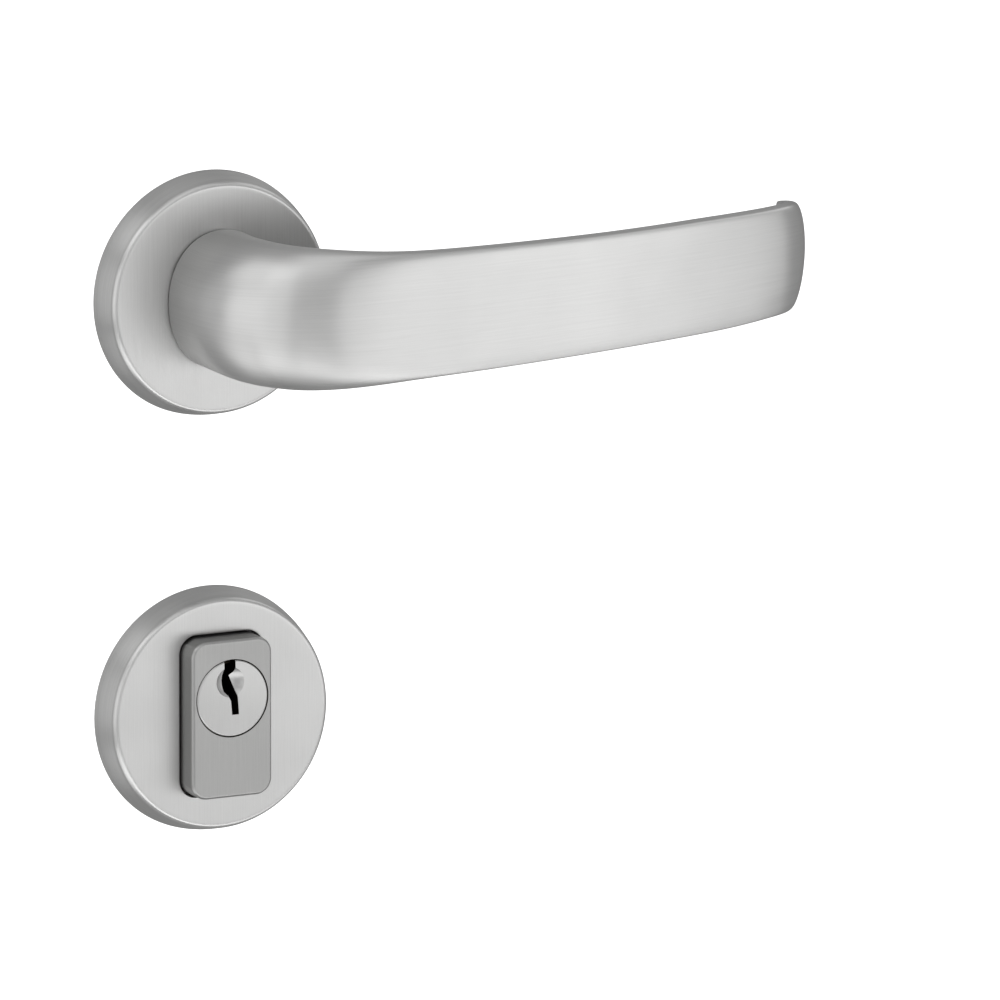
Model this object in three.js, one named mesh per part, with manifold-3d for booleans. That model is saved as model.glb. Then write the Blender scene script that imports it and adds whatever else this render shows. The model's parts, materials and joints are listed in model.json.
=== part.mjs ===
// Outside set of a mortice lock: a sprung lever on a round rose, and a pin cylinder in a round escutcheon.
// Frame: millimetres. The origin is on the spindle axis at the door face, +X runs along the lever,
// +Y goes into the door and +Z is up, so everything in front of the door has a negative y.
import * as THREE from 'three';
import { mergeVertices } from 'three/addons/utils/BufferGeometryUtils.js';
import Module from 'manifold-3d';

const wasm = await Module();
wasm.setup();

// ---- Driving dimensions -------------------------------------------------------------------------
const GAP = 0.3;                 // clearance between pieces that would touch
const ROUND = 36;                // sides of a full-size turned piece

const COVER_RADIUS = 26.25;      // rose and escutcheon covers, at the door
const COVER_DEPTH = 7.3;
const COVER_WALL = 1.1;
const COVER_TAPER = 1.3;         // how much smaller the radius is where the rim meets the rounded edge
const COVER_EDGE = 2.1;          // depth of the rounded edge
const ROSE_HOLE_RADIUS = 10.4;
const ESCUTCHEON_Z = -89.4;      // centre of the escutcheon below the spindle axis
const PLUG_Z = -85;              // centre of the cylinder plug: standard spindle to cylinder pitch

const PLATE_RADIUS = 23.9;
const PLATE_BEVEL = 1.2;
const SCREW_HEAD_RADIUS = 3.3;
const SCREW_SHANK_RADIUS = 1.7;
const SNAP_RING_RADIUS = 23.75;  // wire rings that hold the covers on
const SNAP_WIRE = 0.42;
const ROSE_GROOVE_Y = -2.4;
const ESCUTCHEON_GROOVE_Y = -1.9;
const ROSE_PLATE_DEPTH = 5.2;
const ROSE_PLATE_FLOOR = 2;      // metal left behind the spring pocket
const POCKET_RADIUS = 15.8;
const ESCUTCHEON_PLATE_DEPTH = 4;
const SPRING_COVER_INNER = 10.2;
const SPRING_COVER_OUTER = 21.4;
const SPRING_COVER_FRONT = -6;
const SPRING_COVER_BACK = -5.5;
const SPRING_COVER_SCREW_RADIUS = 19;
const SPRING_COVER_SCREW_HOLE = 1.2;
const SPRING_COVER_HEAD_RADIUS = 2;
const SPRING_START = 200;        // angle of the tab on the driver that the return spring hooks over
const SPRING_TURNS = 1.75;
const STOP_INNER_RADIUS = 11.2;
const STOP_LUG_HALF = 12;        // degrees either side of the middle of the driver's lug
const DRIVER_RADIUS = 10.6;
const DRIVER_FRONT = -3.2;
const DRIVER_BACK = -2.3;

const SPINDLE_SIDE = 8;
const SPINDLE_FRONT = -28;
const SPINDLE_BACK = 34;
const HUB_RADIUS = 8.8;          // round end of the lever that turns in the rose
const HUB_BACK = -3.5;
const NECK_BACK = -(COVER_DEPTH + 0.4);
const LEVER_TRAVEL = 45;         // degrees
const STOP_LUG_REST = 90 + LEVER_TRAVEL / 2;
const GRUB_Y = -16;
const GRUB_RADIUS = 2.6;

const SPINDLE_HOLE_RADIUS = 6.6; // clears the corners of the turning spindle
const FIXING_RADIUS = 19;        // bolt-through lugs above and below the spindle: 38 mm pitch
const LUG_RADIUS = 3;
const LUG_NECK_RADIUS = 2;
const LUG_REACH = 12;
const LUG_BORE_RADIUS = 1.65;
const ROSE_SCREW_X = 20.1;
const ROSE_SCREW_SEAT = -3.1;
const ESCUTCHEON_SCREW_X = 17.2;
const ESCUTCHEON_SCREW_SEAT = -1.7;
const SCREW_HEAD_DEPTH = 1.7;

const BODY_WIDTH = 18.6;         // lock cylinder
const BODY_HEIGHT = 34;
const BODY_CENTRE = ESCUTCHEON_Z - PLUG_Z;   // below the plug centre
const BODY_CORNER = 3.5;
const BODY_FRONT = -12.6;
const BODY_BACK = 20;
const NOSE_BACK = -0.8;          // the rectangular nose ends here and the obround barrel goes on
const OPENING_MARGIN = 0.45;     // gap around the cylinder in the escutcheon
const BOLT_HOLE_RADIUS = 1.65;   // blind holes in the back of the cylinder
const BOLT_HOLE_PLACE = [5.2, -13.5];
const FLANGE_RADIUS = 8.25;      // face of the plug
const FLANGE_BACK = -10.8;
const PLUG_RADIUS = 6.8;
const BORE_RADIUS = PLUG_RADIUS + GAP;

const PIN_COUNT = 5;
const PIN_PITCH = 4;
const FIRST_PIN_Y = -6.4;
const PIN_RADIUS = 1.3;
const DRIVER_LENGTH = 4.5;
const KEY_PIN_LENGTHS = [4.2, 5.1, 3.9, 4.8, 4.5];
const CHAMBER_BOTTOM = -19.2;    // below the plug centre
const STRIP_HALF_WIDTH = 2.2;
const CAM_FRONT = BODY_BACK + 0.7;
const CAM_BACK = CAM_FRONT + 2.5;
const CAM_RADIUS = 8.4;
const CAM_LOBE_HALF = 4.2;
const CAM_LOBE_Z = -11.5;
const CAM_SCREW_PLACES = [[-4.4, -1.2], [4.4, -1.2]];
const CAM_SCREW_RADIUS = 1;
const CAM_SCREW_HEAD_RADIUS = 2;

// ---- Materials ----------------------------------------------------------------------------------
function metal(colour, roughness, metalness = 1) {
  return new THREE.MeshStandardMaterial({ color: colour, roughness, metalness });
}

const SATIN = metal(0xc9c9c7, 0.38);
const CAST = metal(0x9a9c9e, 0.6);
const STEEL = metal(0xb4b6b8, 0.35);
const SPRING = metal(0x84878b, 0.4);
const BRASS = metal(0xc2a35c, 0.35);
const NYLON = metal(0xe4e2da, 0.7, 0);

// ---- Solids -------------------------------------------------------------------------------------
function solid(geometry) {
  const plain = geometry.index ? geometry.clone() : geometry;
  plain.deleteAttribute('normal');
  plain.deleteAttribute('uv');
  const merged = mergeVertices(plain, 1e-4);
  return new wasm.Manifold(new wasm.Mesh({
    numProp: 3,
    vertProperties: new Float32Array(merged.attributes.position.array),
    triVerts: new Uint32Array(merged.index.array),
  }));
}

function geometryOf(body) {
  const mesh = body.getMesh();
  const geometry = new THREE.BufferGeometry();
  geometry.setAttribute('position', new THREE.BufferAttribute(new Float32Array(mesh.vertProperties), 3));
  geometry.setIndex(new THREE.BufferAttribute(new Uint32Array(mesh.triVerts), 1));
  geometry.computeVertexNormals();
  return geometry;
}

const object = new THREE.Group();

// Adds one named piece at a place in the frame.
function piece(name, body, material, x = 0, y = 0, z = 0) {
  const mesh = new THREE.Mesh(geometryOf(body), material);
  mesh.name = name;
  mesh.position.set(x, y, z);
  object.add(mesh);
}

// A cylinder along Y, from y0 to y1.
function rod(radius, y0, y1, x = 0, z = 0, sides = 18) {
  const geometry = new THREE.CylinderGeometry(radius, radius, y1 - y0, sides);
  return solid(geometry.translate(x, (y0 + y1) / 2, z));
}

// A cylinder along Z, from z0 to z1, whose radius may differ at its upper end.
function post(radius, z0, z1, x = 0, y = 0, upperRadius = radius, sides = 12) {
  const geometry = new THREE.CylinderGeometry(upperRadius, radius, z1 - z0, sides);
  return solid(geometry.rotateX(Math.PI / 2).translate(x, y, (z0 + z1) / 2));
}

// A block given by its low and high corners.
function block([x0, y0, z0], [x1, y1, z1]) {
  const geometry = new THREE.BoxGeometry(x1 - x0, y1 - y0, z1 - z0);
  return solid(geometry.translate((x0 + x1) / 2, (y0 + y1) / 2, (z0 + z1) / 2));
}

// A closed profile of [radius, y] points turned about the Y axis.
function turned(profile, sides = 48) {
  const ring = profile.map(([radius, y]) => new THREE.Vector2(radius, y));
  if (THREE.ShapeUtils.area(ring) < 0) ring.reverse();
  ring.push(ring[0].clone());
  return solid(new THREE.LatheGeometry(ring, sides));
}

// A shape in the XZ plane (its own x and y), extruded along Y from y0 to y1.
function plate(shape, y0, y1, curveSegments = 6) {
  const options = { depth: y1 - y0, bevelEnabled: false, curveSegments };
  return solid(new THREE.ExtrudeGeometry(shape, options).rotateX(Math.PI / 2).translate(0, y1, 0));
}

function roundedRectangle(width, height, corner, centreZ = 0) {
  const x = width / 2;
  const top = centreZ + height / 2;
  const bottom = centreZ - height / 2;
  const shape = new THREE.Shape();
  shape.moveTo(x - corner, bottom);
  shape.absarc(x - corner, bottom + corner, corner, -Math.PI / 2, 0, false);
  shape.absarc(x - corner, top - corner, corner, 0, Math.PI / 2, false);
  shape.absarc(corner - x, top - corner, corner, Math.PI / 2, Math.PI, false);
  shape.absarc(corner - x, bottom + corner, corner, Math.PI, 1.5 * Math.PI, false);
  return shape;
}

// A ring sector in the XZ plane between two radii and two angles in degrees from +X towards +Z.
function sector(inner, outer, from, to) {
  const a = THREE.MathUtils.degToRad(from);
  const b = THREE.MathUtils.degToRad(to);
  const shape = new THREE.Shape();
  shape.absarc(0, 0, outer, a, b, false);
  shape.absarc(0, 0, inner, b, a, true);
  return shape;
}

// ---- Covers, plates and their fixings -----------------------------------------------------------
// Outside of a round cover, from its back rim along the tapered wall and the rounded edge to the face.
function coverOutside() {
  const rim = COVER_RADIUS - COVER_TAPER;
  const start = COVER_EDGE - COVER_DEPTH;
  const edge = [0, 30, 60, 90].map((degrees) => {
    const angle = THREE.MathUtils.degToRad(degrees);
    return [rim - COVER_EDGE * (1 - Math.cos(angle)), start - COVER_EDGE * Math.sin(angle)];
  });
  return [[COVER_RADIUS, 0], ...edge];
}

function coverShell(holeRadius) {
  const floor = COVER_WALL - COVER_DEPTH;
  const rim = COVER_RADIUS - COVER_TAPER - COVER_WALL;
  const inside = [[holeRadius, floor], [rim - 1, floor], [rim, floor + 1], [COVER_RADIUS - COVER_WALL, 0]];
  return turned([...coverOutside(), [holeRadius, -COVER_DEPTH], ...inside], ROUND);
}

// Hole for a wood screw whose head sits at seatY, cut from frontY to backY.
function screwHole(x, seatY, frontY, backY) {
  const seat = rod(SCREW_HEAD_RADIUS + GAP, frontY, seatY, x);
  return seat.add(rod(SCREW_SHANK_RADIUS + GAP, seatY - 0.1, backY, x));
}

// Wood screw along Y: pan head at headY, tapered point at tipY, cross slot in the head.
function woodScrew(headY, seatY, tipY) {
  const wide = SCREW_HEAD_RADIUS;
  const shank = SCREW_SHANK_RADIUS;
  const head = turned([[0.001, headY], [wide - 1, headY], [wide, headY + 0.8], [wide, seatY],
    [shank, seatY], [shank, tipY - 3], [0.001, tipY]], 12);
  const slot = block([-2, headY - 1, -0.4], [2, headY + 0.7, 0.4]);
  const cross = block([-0.4, headY - 1, -2], [0.4, headY + 0.7, 2]);
  return head.subtract(slot).subtract(cross);
}

// Wire ring with a gap at the top, sprung into the groove around a plate.
function snapRing(y) {
  const half = THREE.MathUtils.degToRad(15);
  const spans = 24;
  const arc = new THREE.CatmullRomCurve3(Array.from({ length: spans + 1 }, (_, i) => {
    const angle = Math.PI / 2 + half + (i / spans) * (2 * Math.PI - 2 * half);
    return new THREE.Vector3(SNAP_RING_RADIUS * Math.cos(angle), y, SNAP_RING_RADIUS * Math.sin(angle));
  }));
  return alongCurve(arc, SNAP_WIRE, ROUND, 5);
}

// A round wire along a curve.
function alongCurve(curve, radius, steps, sides) {
  const section = new THREE.Shape();
  for (let i = 0; i < sides; i += 1) {
    const angle = (2 * Math.PI * i) / sides;
    const move = i ? 'lineTo' : 'moveTo';
    section[move](radius * Math.cos(angle), radius * Math.sin(angle));
  }
  const options = { steps, bevelEnabled: false, extrudePath: curve };
  return solid(new THREE.ExtrudeGeometry(section, options));
}

function ringGroove(y) {
  const inner = PLATE_RADIUS - 1.3;
  const outer = PLATE_RADIUS + 1;
  const half = 0.75;
  return turned([[inner, y - half], [outer, y - half], [outer, y + half], [inner, y + half]], ROUND);
}

// Round plate that a cover snaps onto, bevelled at its front.
function coverPlate(depth) {
  return turned([[0.001, -depth], [PLATE_RADIUS - PLATE_BEVEL, -depth],
    [PLATE_RADIUS, PLATE_BEVEL - depth], [PLATE_RADIUS, 0], [0.001, 0]], ROUND);
}

function rosePlate() {
  const front = -ROSE_PLATE_DEPTH - 1;
  let body = coverPlate(ROSE_PLATE_DEPTH);
  body = body.subtract(rod(POCKET_RADIUS, front, -ROSE_PLATE_FLOOR, 0, 0, ROUND));
  body = body.subtract(rod(SPINDLE_HOLE_RADIUS, front, 1));
  body = body.subtract(ringGroove(ROSE_GROOVE_Y));
  for (const side of [-1, 1]) {
    body = body.subtract(screwHole(side * ROSE_SCREW_X, ROSE_SCREW_SEAT + 0.1, front, 1));
    body = body.subtract(rod(LUG_NECK_RADIUS + GAP, front, 1, 0, side * FIXING_RADIUS, 14));
  }
  for (const [x, z] of springCoverScrewPlaces()) {
    body = body.subtract(rod(SPRING_COVER_SCREW_HOLE, front, -ROSE_PLATE_FLOOR, x, z, 12));
  }
  for (const stop of stopBlocks()) body = body.add(stop);
  return body;
}

// The two stops stand on the pocket floor, one at each end of the driver lug's travel.
function stopBlocks() {
  const play = 1.5;
  const width = 24;
  const height = 1.3;
  const sunk = 0.2;
  const high = STOP_LUG_REST + STOP_LUG_HALF + play;
  const low = STOP_LUG_REST - LEVER_TRAVEL - STOP_LUG_HALF - play;
  return [[high, high + width], [low - width, low]].map(([from, to]) => {
    const outline = sector(STOP_INNER_RADIUS, POCKET_RADIUS + sunk, from, to);
    return plate(outline, -ROSE_PLATE_FLOOR - height, sunk - ROSE_PLATE_FLOOR);
  });
}

function springCoverScrewPlaces() {
  return [45, 225].map((degrees) => {
    const angle = THREE.MathUtils.degToRad(degrees);
    return [SPRING_COVER_SCREW_RADIUS * Math.cos(angle), SPRING_COVER_SCREW_RADIUS * Math.sin(angle)];
  });
}

// Threaded stand-off riveted into the rose plate, tapped from its far end.
function fixingLug() {
  const front = 0.4 - ROSE_PLATE_DEPTH;
  const body = turned([[0.001, front], [LUG_NECK_RADIUS, front], [LUG_NECK_RADIUS, GAP], [LUG_RADIUS, GAP],
    [LUG_RADIUS, LUG_REACH], [0.001, LUG_REACH]], 16);
  return body.subtract(rod(LUG_BORE_RADIUS, 1, LUG_REACH + 1, 0, 0, 12));
}

// ---- Return spring, driver and the lever's retaining parts --------------------------------------
function springDriver() {
  const spindleHole = SPINDLE_SIDE / 2 + GAP;
  const lug = sector(9, 14.6, STOP_LUG_REST - STOP_LUG_HALF, STOP_LUG_REST + STOP_LUG_HALF);
  const tab = sector(DRIVER_RADIUS - 0.5, DRIVER_RADIUS + 0.5, SPRING_START - 9, SPRING_START + 4);
  return rod(DRIVER_RADIUS, DRIVER_FRONT, DRIVER_BACK, 0, 0, 28)
    .add(plate(lug, DRIVER_FRONT, DRIVER_BACK))
    .add(plate(tab, -5, DRIVER_BACK))
    .subtract(block([-spindleHole, -6, -spindleHole], [spindleHole, 0, spindleHole]));
}

// Flat strip wound in a spiral: its inner end hooks over the driver's tab, its outer end lies in the plate.
function returnSpring() {
  const inner = 11.8;
  const outer = 14.9;
  const half = 0.35;
  const steps = 42;
  const outside = [];
  const inside = [];
  for (let i = 0; i <= steps; i += 1) {
    const part = i / steps;
    const angle = THREE.MathUtils.degToRad(SPRING_START + 360 * SPRING_TURNS * part);
    const radius = inner + (outer - inner) * part;
    outside.push(new THREE.Vector2((radius + half) * Math.cos(angle), (radius + half) * Math.sin(angle)));
    inside.push(new THREE.Vector2((radius - half) * Math.cos(angle), (radius - half) * Math.sin(angle)));
  }
  return plate(new THREE.Shape([...outside, ...inside.reverse()]), -5, -3.5);
}

function springCover() {
  let body = turned([[SPRING_COVER_INNER, SPRING_COVER_FRONT], [SPRING_COVER_OUTER, SPRING_COVER_FRONT],
    [SPRING_COVER_OUTER, SPRING_COVER_BACK], [SPRING_COVER_INNER, SPRING_COVER_BACK]], ROUND);
  const hole = SPRING_COVER_HEAD_RADIUS + GAP;
  for (const [x, z] of springCoverScrewPlaces()) {
    body = body.subtract(rod(hole, SPRING_COVER_FRONT - 1, SPRING_COVER_BACK + 0.2, x, z, 14));
  }
  return body;
}

function springCoverScrew() {
  const front = SPRING_COVER_FRONT;
  const wide = SPRING_COVER_HEAD_RADIUS;
  const shank = SPRING_COVER_SCREW_HOLE - GAP;
  const body = turned([[0.001, front], [wide, front], [wide, front + 0.3], [shank, front + 0.6],
    [shank, -2.6], [0.001, -2.6]], 16);
  return body.subtract(block([-3, front - 0.9, -0.25], [3, front + 0.25, 0.25]));
}

function circlip() {
  const arms = sector(HUB_RADIUS - 0.9, HUB_RADIUS + 1.2, 20, 340);
  return plate(arms, -5.1, -4.4, 16);
}

// Nylon ring in the rose's hole that the round end of the lever turns in.
function neckBush() {
  const inner = HUB_RADIUS + GAP;
  const outer = ROSE_HOLE_RADIUS - GAP;
  const front = -COVER_DEPTH - 0.05;
  const back = COVER_WALL - COVER_DEPTH;
  return turned([[inner, front], [outer, front], [outer, back], [inner, back]], 28);
}

function spindle() {
  const half = SPINDLE_SIDE / 2;
  const bevel = 0.8;
  const core = block([-half, SPINDLE_FRONT + bevel, -half], [half, SPINDLE_BACK - bevel, half]);
  const tips = block([bevel - half, SPINDLE_FRONT, bevel - half], [half - bevel, SPINDLE_BACK, half - bevel]);
  return core.add(tips);
}

function grubScrew() {
  const body = post(GRUB_RADIUS, -12, -SPINDLE_SIDE / 2 - GAP);
  return body.subtract(post(1.5, -13, -9, 0, 0, 1.5, 6));
}

// ---- Lever --------------------------------------------------------------------------------------
// Stations along the lever: place in plan [x, y], half thickness, half height and squareness of the
// section. The neck leaves the rose as an oval, turns through a right angle and flattens into a blade
// that bows gently back to the door and ends in a short return.
const STATIONS = [
  { at: [0, NECK_BACK], half: [12.5, 14.95], square: 2.1 },
  { at: [0, -14], half: [12.6, 15.1], square: 2 },
  { at: [0.6, -20.5], half: [11.9, 15.3], square: 2 },
  { at: [2.6, -27], half: [10.4, 15.3], square: 2.1 },
  { at: [6.6, -32.8], half: [8.2, 15.2], square: 2.3 },
  { at: [13, -37], half: [5.9, 14.8], square: 2.6 },
  { at: [20, -39.2], half: [4.1, 14.25], square: 3 },
  { at: [29, -40.1], half: [2.9, 13.65], square: 3.8 },
  { at: [42, -39.9], half: [2.5, 13.2], square: 4.5 },
  { at: [64, -38], half: [2.4, 12.7], square: 4.5 },
  { at: [87, -34.4], half: [2.4, 12.3], square: 4.5 },
  { at: [108, -29.6], half: [2.4, 12], square: 4.5 },
  { at: [120, -26.5], half: [2.3, 11.65], square: 4.5 },
  { at: [125.6, -24], half: [2.2, 11.3], square: 4.2 },
  { at: [128.1, -20.3], half: [2, 10.8], square: 4 },
  { at: [128.8, -16.5], half: [1.9, 10.3], square: 3.6 },
  { at: [128.9, -13.6], half: [1.6, 9.4], square: 3 },
];
const RING_POINTS = 28;
const STEPS_PER_STATION = 2;
const END_CROWN = 1.5;           // how far the middle of the blade's end stands out past its corners
const CROWN_START = 0.7;         // part of the way along the lever
const END_RISE = 0.6;            // how far the middle of the blade's end sits above its centre line
const RISE_START = 0.8;

// Point at angle t of a superellipse.
function superellipse(t, width, height, power) {
  const bend = (value) => Math.sign(value) * Math.abs(value) ** (2 / power);
  return [width * bend(Math.cos(t)), height * bend(Math.sin(t))];
}

function leverSections() {
  const spine = new THREE.CatmullRomCurve3(STATIONS.map(({ at }) => new THREE.Vector3(at[0], at[1], 0)));
  const sizes = STATIONS.map(({ half, square }) => new THREE.Vector3(...half, square));
  const shapes = new THREE.CatmullRomCurve3(sizes);
  const count = (STATIONS.length - 1) * STEPS_PER_STATION;
  const rings = [];
  for (let i = 0; i <= count; i += 1) {
    const t = i / count;
    const centre = spine.getPoint(t);
    const along = spine.getTangent(t);
    const size = shapes.getPoint(t);
    const crown = END_CROWN * THREE.MathUtils.smoothstep(t, CROWN_START, 1);
    const rise = END_RISE * THREE.MathUtils.smoothstep(t, RISE_START, 1);
    const ring = [];
    for (let j = 0; j < RING_POINTS; j += 1) {
      const [across, up] = superellipse((2 * Math.PI * j) / RING_POINTS, size.x, size.y, size.z);
      const x = centre.x + across * along.y - crown * (up / size.y) ** 2;
      ring.push(new THREE.Vector3(x, centre.y - across * along.x, up + rise));
    }
    rings.push(ring);
  }
  const back = rings[0].map((point) => new THREE.Vector3(point.x, NECK_BACK, point.z));
  return [back, ...rings.slice(1)];
}

// Closes a row of rings of equal length into one skin with flat ends.
function loft(rings) {
  const positions = [];
  const triangle = (a, b, c) => positions.push(...a.toArray(), ...b.toArray(), ...c.toArray());
  const width = rings[0].length;
  for (let i = 1; i < rings.length; i += 1) {
    for (let j = 0; j < width; j += 1) {
      const k = (j + 1) % width;
      triangle(rings[i - 1][j], rings[i][j], rings[i][k]);
      triangle(rings[i - 1][j], rings[i][k], rings[i - 1][k]);
    }
  }
  const first = rings[0];
  const last = rings[rings.length - 1];
  for (let j = 1; j < width - 1; j += 1) {
    triangle(first[0], first[j], first[j + 1]);
    triangle(last[0], last[j + 1], last[j]);
  }
  const geometry = new THREE.BufferGeometry();
  geometry.setAttribute('position', new THREE.Float32BufferAttribute(positions, 3));
  return solid(geometry);
}

function leverHandle() {
  const socket = SPINDLE_SIDE / 2 + GAP;
  const floor = HUB_RADIUS - 1.2;
  const groove = turned([[floor, -5.4], [HUB_RADIUS + 1, -5.4], [HUB_RADIUS + 1, -4.1], [floor, -4.1]], 28);
  return loft(leverSections())
    .add(rod(HUB_RADIUS, NECK_BACK - 2, HUB_BACK, 0, 0, 28))
    .subtract(groove)
    .subtract(block([-socket, SPINDLE_FRONT - 0.6, -socket], [socket, 0, socket]))
    .subtract(post(GRUB_RADIUS + GAP, -20, -socket + 0.2, 0, GRUB_Y));
}

// ---- Lock cylinder ------------------------------------------------------------------------------
function pinY(index) {
  return FIRST_PIN_Y + index * PIN_PITCH;
}

// Everything in the cylinder is drawn about the plug's axis and set down at PLUG_Z.
// The body's cut-outs: the bore, the flange's seat, the pin chambers, the slot that the strip closes
// and the blind holes for the bolts that hold it in a lock case.
function cylinderBody() {
  const nose = roundedRectangle(BODY_WIDTH, BODY_HEIGHT, BODY_CORNER, BODY_CENTRE);
  const barrel = roundedRectangle(BODY_WIDTH, BODY_HEIGHT, BODY_WIDTH / 2 - 0.01, BODY_CENTRE);
  let body = plate(nose, BODY_FRONT, NOSE_BACK).add(plate(barrel, NOSE_BACK - 0.5, BODY_BACK, 8));
  body = body.subtract(rod(BORE_RADIUS, BODY_FRONT - 1, BODY_BACK + 1, 0, 0, 36));
  body = body.subtract(rod(FLANGE_RADIUS + GAP, BODY_FRONT - 1, FLANGE_BACK + GAP, 0, 0, 36));
  for (let i = 0; i < PIN_COUNT; i += 1) {
    body = body.subtract(post(PIN_RADIUS + GAP, CHAMBER_BOTTOM - 0.5, -4, 0, pinY(i)));
  }
  const slot = block([-STRIP_HALF_WIDTH, pinY(0) - 3, BODY_CENTRE - BODY_HEIGHT / 2 - 1],
    [STRIP_HALF_WIDTH, pinY(PIN_COUNT - 1) + 3, CHAMBER_BOTTOM]);
  body = body.subtract(slot);
  const [boltX, boltZ] = BOLT_HOLE_PLACE;
  for (const side of [-1, 1]) {
    body = body.subtract(rod(BOLT_HOLE_RADIUS, BODY_BACK - 8, BODY_BACK + 1, side * boltX, boltZ, 16));
  }
  return body;
}

// Keyway seen from the front: a ward on each side and an opening through the top of the plug.
function keywayShape() {
  const shape = new THREE.Shape();
  shape.moveTo(-1.9, 10);
  shape.lineTo(-1.9, 6.7);
  shape.quadraticCurveTo(-2.5, 4.2, -1.9, 1.5);
  shape.lineTo(-1.1, 0.7);
  shape.lineTo(-0.5, -0.5);
  shape.lineTo(-0.2, -3.5);
  shape.lineTo(1.4, -3.5);
  shape.lineTo(1.1, 0.2);
  shape.lineTo(0.5, 2.4);
  shape.quadraticCurveTo(-0.1, 3.6, -0.5, 4.9);
  shape.lineTo(0.5, 5.7);
  shape.lineTo(0.7, 6.7);
  shape.lineTo(0.7, 10);
  return shape;
}

function cylinderPlug() {
  const face = BODY_FRONT - 0.1;
  const chamfer = 0.5;
  const flange = turned([[0.001, face - 0.3], [4, face - 0.2], [FLANGE_RADIUS - chamfer, face],
    [FLANGE_RADIUS, face + chamfer], [FLANGE_RADIUS, FLANGE_BACK], [0.001, FLANGE_BACK]], 36);
  let body = flange.add(rod(PLUG_RADIUS, FLANGE_BACK - 0.5, BODY_BACK + GAP, 0, 0, 36));
  body = body.subtract(plate(keywayShape(), face - 2, BODY_BACK + 2));
  const dimple = solid(new THREE.SphereGeometry(5, 16, 10).translate(-0.6, face - 4, 3.7));
  body = body.subtract(dimple);
  for (let i = 0; i < PIN_COUNT; i += 1) body = body.subtract(post(PIN_RADIUS + GAP, -9, -0.4, 0, pinY(i)));
  const tapped = CAM_SCREW_RADIUS + GAP;
  for (const [x, z] of CAM_SCREW_PLACES) {
    body = body.subtract(rod(tapped, BODY_BACK - 6, BODY_BACK + 2, x, z, 12));
  }
  return body;
}

const SHEAR = -PLUG_RADIUS + 0.1;            // bottom of every key pin

function keyPin(length) {
  const taper = 0.9;
  const shank = post(PIN_RADIUS, SHEAR, SHEAR + length - taper);
  return shank.add(post(PIN_RADIUS, SHEAR + length - taper - 0.001, SHEAR + length, 0, 0, 0.5));
}

function driverPin() {
  const top = -BORE_RADIUS - 0.1;
  const waist = 0.95;
  const ends = post(PIN_RADIUS, top - DRIVER_LENGTH, top);
  const outside = PIN_RADIUS + 1;
  const cut = turnedUpright([[waist, top - 3.2], [outside, top - 3.2], [outside, top - 1.2], [waist, top - 1.2]]);
  return ends.subtract(cut);
}

// A closed profile of [radius, z] points turned about the Z axis.
function turnedUpright(profile) {
  const ring = profile.map(([radius, z]) => new THREE.Vector2(radius, z));
  if (THREE.ShapeUtils.area(ring) < 0) ring.reverse();
  ring.push(ring[0].clone());
  return solid(new THREE.LatheGeometry(ring, 12).rotateX(Math.PI / 2));
}

function pinSpring() {
  const wire = 0.22;
  const radius = PIN_RADIUS - wire - 0.02;
  const top = -BORE_RADIUS - 0.1 - DRIVER_LENGTH - GAP - wire;
  const bottom = CHAMBER_BOTTOM + GAP + wire;
  const turns = 4;
  const points = Array.from({ length: turns * 8 + 1 }, (_, i) => {
    const angle = (i / 8) * 2 * Math.PI;
    const z = bottom + ((top - bottom) * i) / (turns * 8);
    return new THREE.Vector3(radius * Math.cos(angle), radius * Math.sin(angle), z);
  });
  return alongCurve(new THREE.CatmullRomCurve3(points), wire, turns * 8, 4);
}

function chamberStrip() {
  const half = STRIP_HALF_WIDTH - GAP;
  const end = 3 - GAP;
  const top = CHAMBER_BOTTOM - 0.05;
  return block([-half, pinY(0) - end, top - 1.15], [half, pinY(PIN_COUNT - 1) + end, top]);
}

function cam() {
  const lobe = new THREE.Shape();
  lobe.moveTo(-CAM_LOBE_HALF, 0);
  lobe.lineTo(-CAM_LOBE_HALF, CAM_LOBE_Z);
  lobe.absarc(0, CAM_LOBE_Z, CAM_LOBE_HALF, Math.PI, 2 * Math.PI, false);
  lobe.lineTo(CAM_LOBE_HALF, 0);
  let body = rod(CAM_RADIUS, CAM_FRONT, CAM_BACK, 0, 0, 28).add(plate(lobe, CAM_FRONT, CAM_BACK));
  const hole = CAM_SCREW_RADIUS + GAP;
  for (const [x, z] of CAM_SCREW_PLACES) {
    body = body.subtract(rod(hole, CAM_FRONT - 1, CAM_BACK + 1, x, z, 12));
  }
  return body;
}

function camScrew() {
  const seat = CAM_BACK + GAP;
  const tip = BODY_BACK - 5;
  const wide = CAM_SCREW_HEAD_RADIUS;
  const head = turned([[0.001, tip], [CAM_SCREW_RADIUS, tip], [CAM_SCREW_RADIUS, seat], [wide, seat],
    [wide, seat + 0.9], [wide - 0.6, seat + 1.3], [0.001, seat + 1.3]], 16);
  return head.subtract(block([-3, seat + 0.8, -0.25], [3, seat + 2, 0.25]));
}

// ---- Escutcheon ---------------------------------------------------------------------------------
function cylinderOpening(y0, y1) {
  const width = BODY_WIDTH + 2 * OPENING_MARGIN;
  const height = BODY_HEIGHT + 2 * OPENING_MARGIN;
  return plate(roundedRectangle(width, height, BODY_CORNER + OPENING_MARGIN), y0, y1);
}

function escutcheonCover() {
  return coverShell(BODY_WIDTH / 3).subtract(cylinderOpening(-COVER_DEPTH - 1, 0));
}

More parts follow.
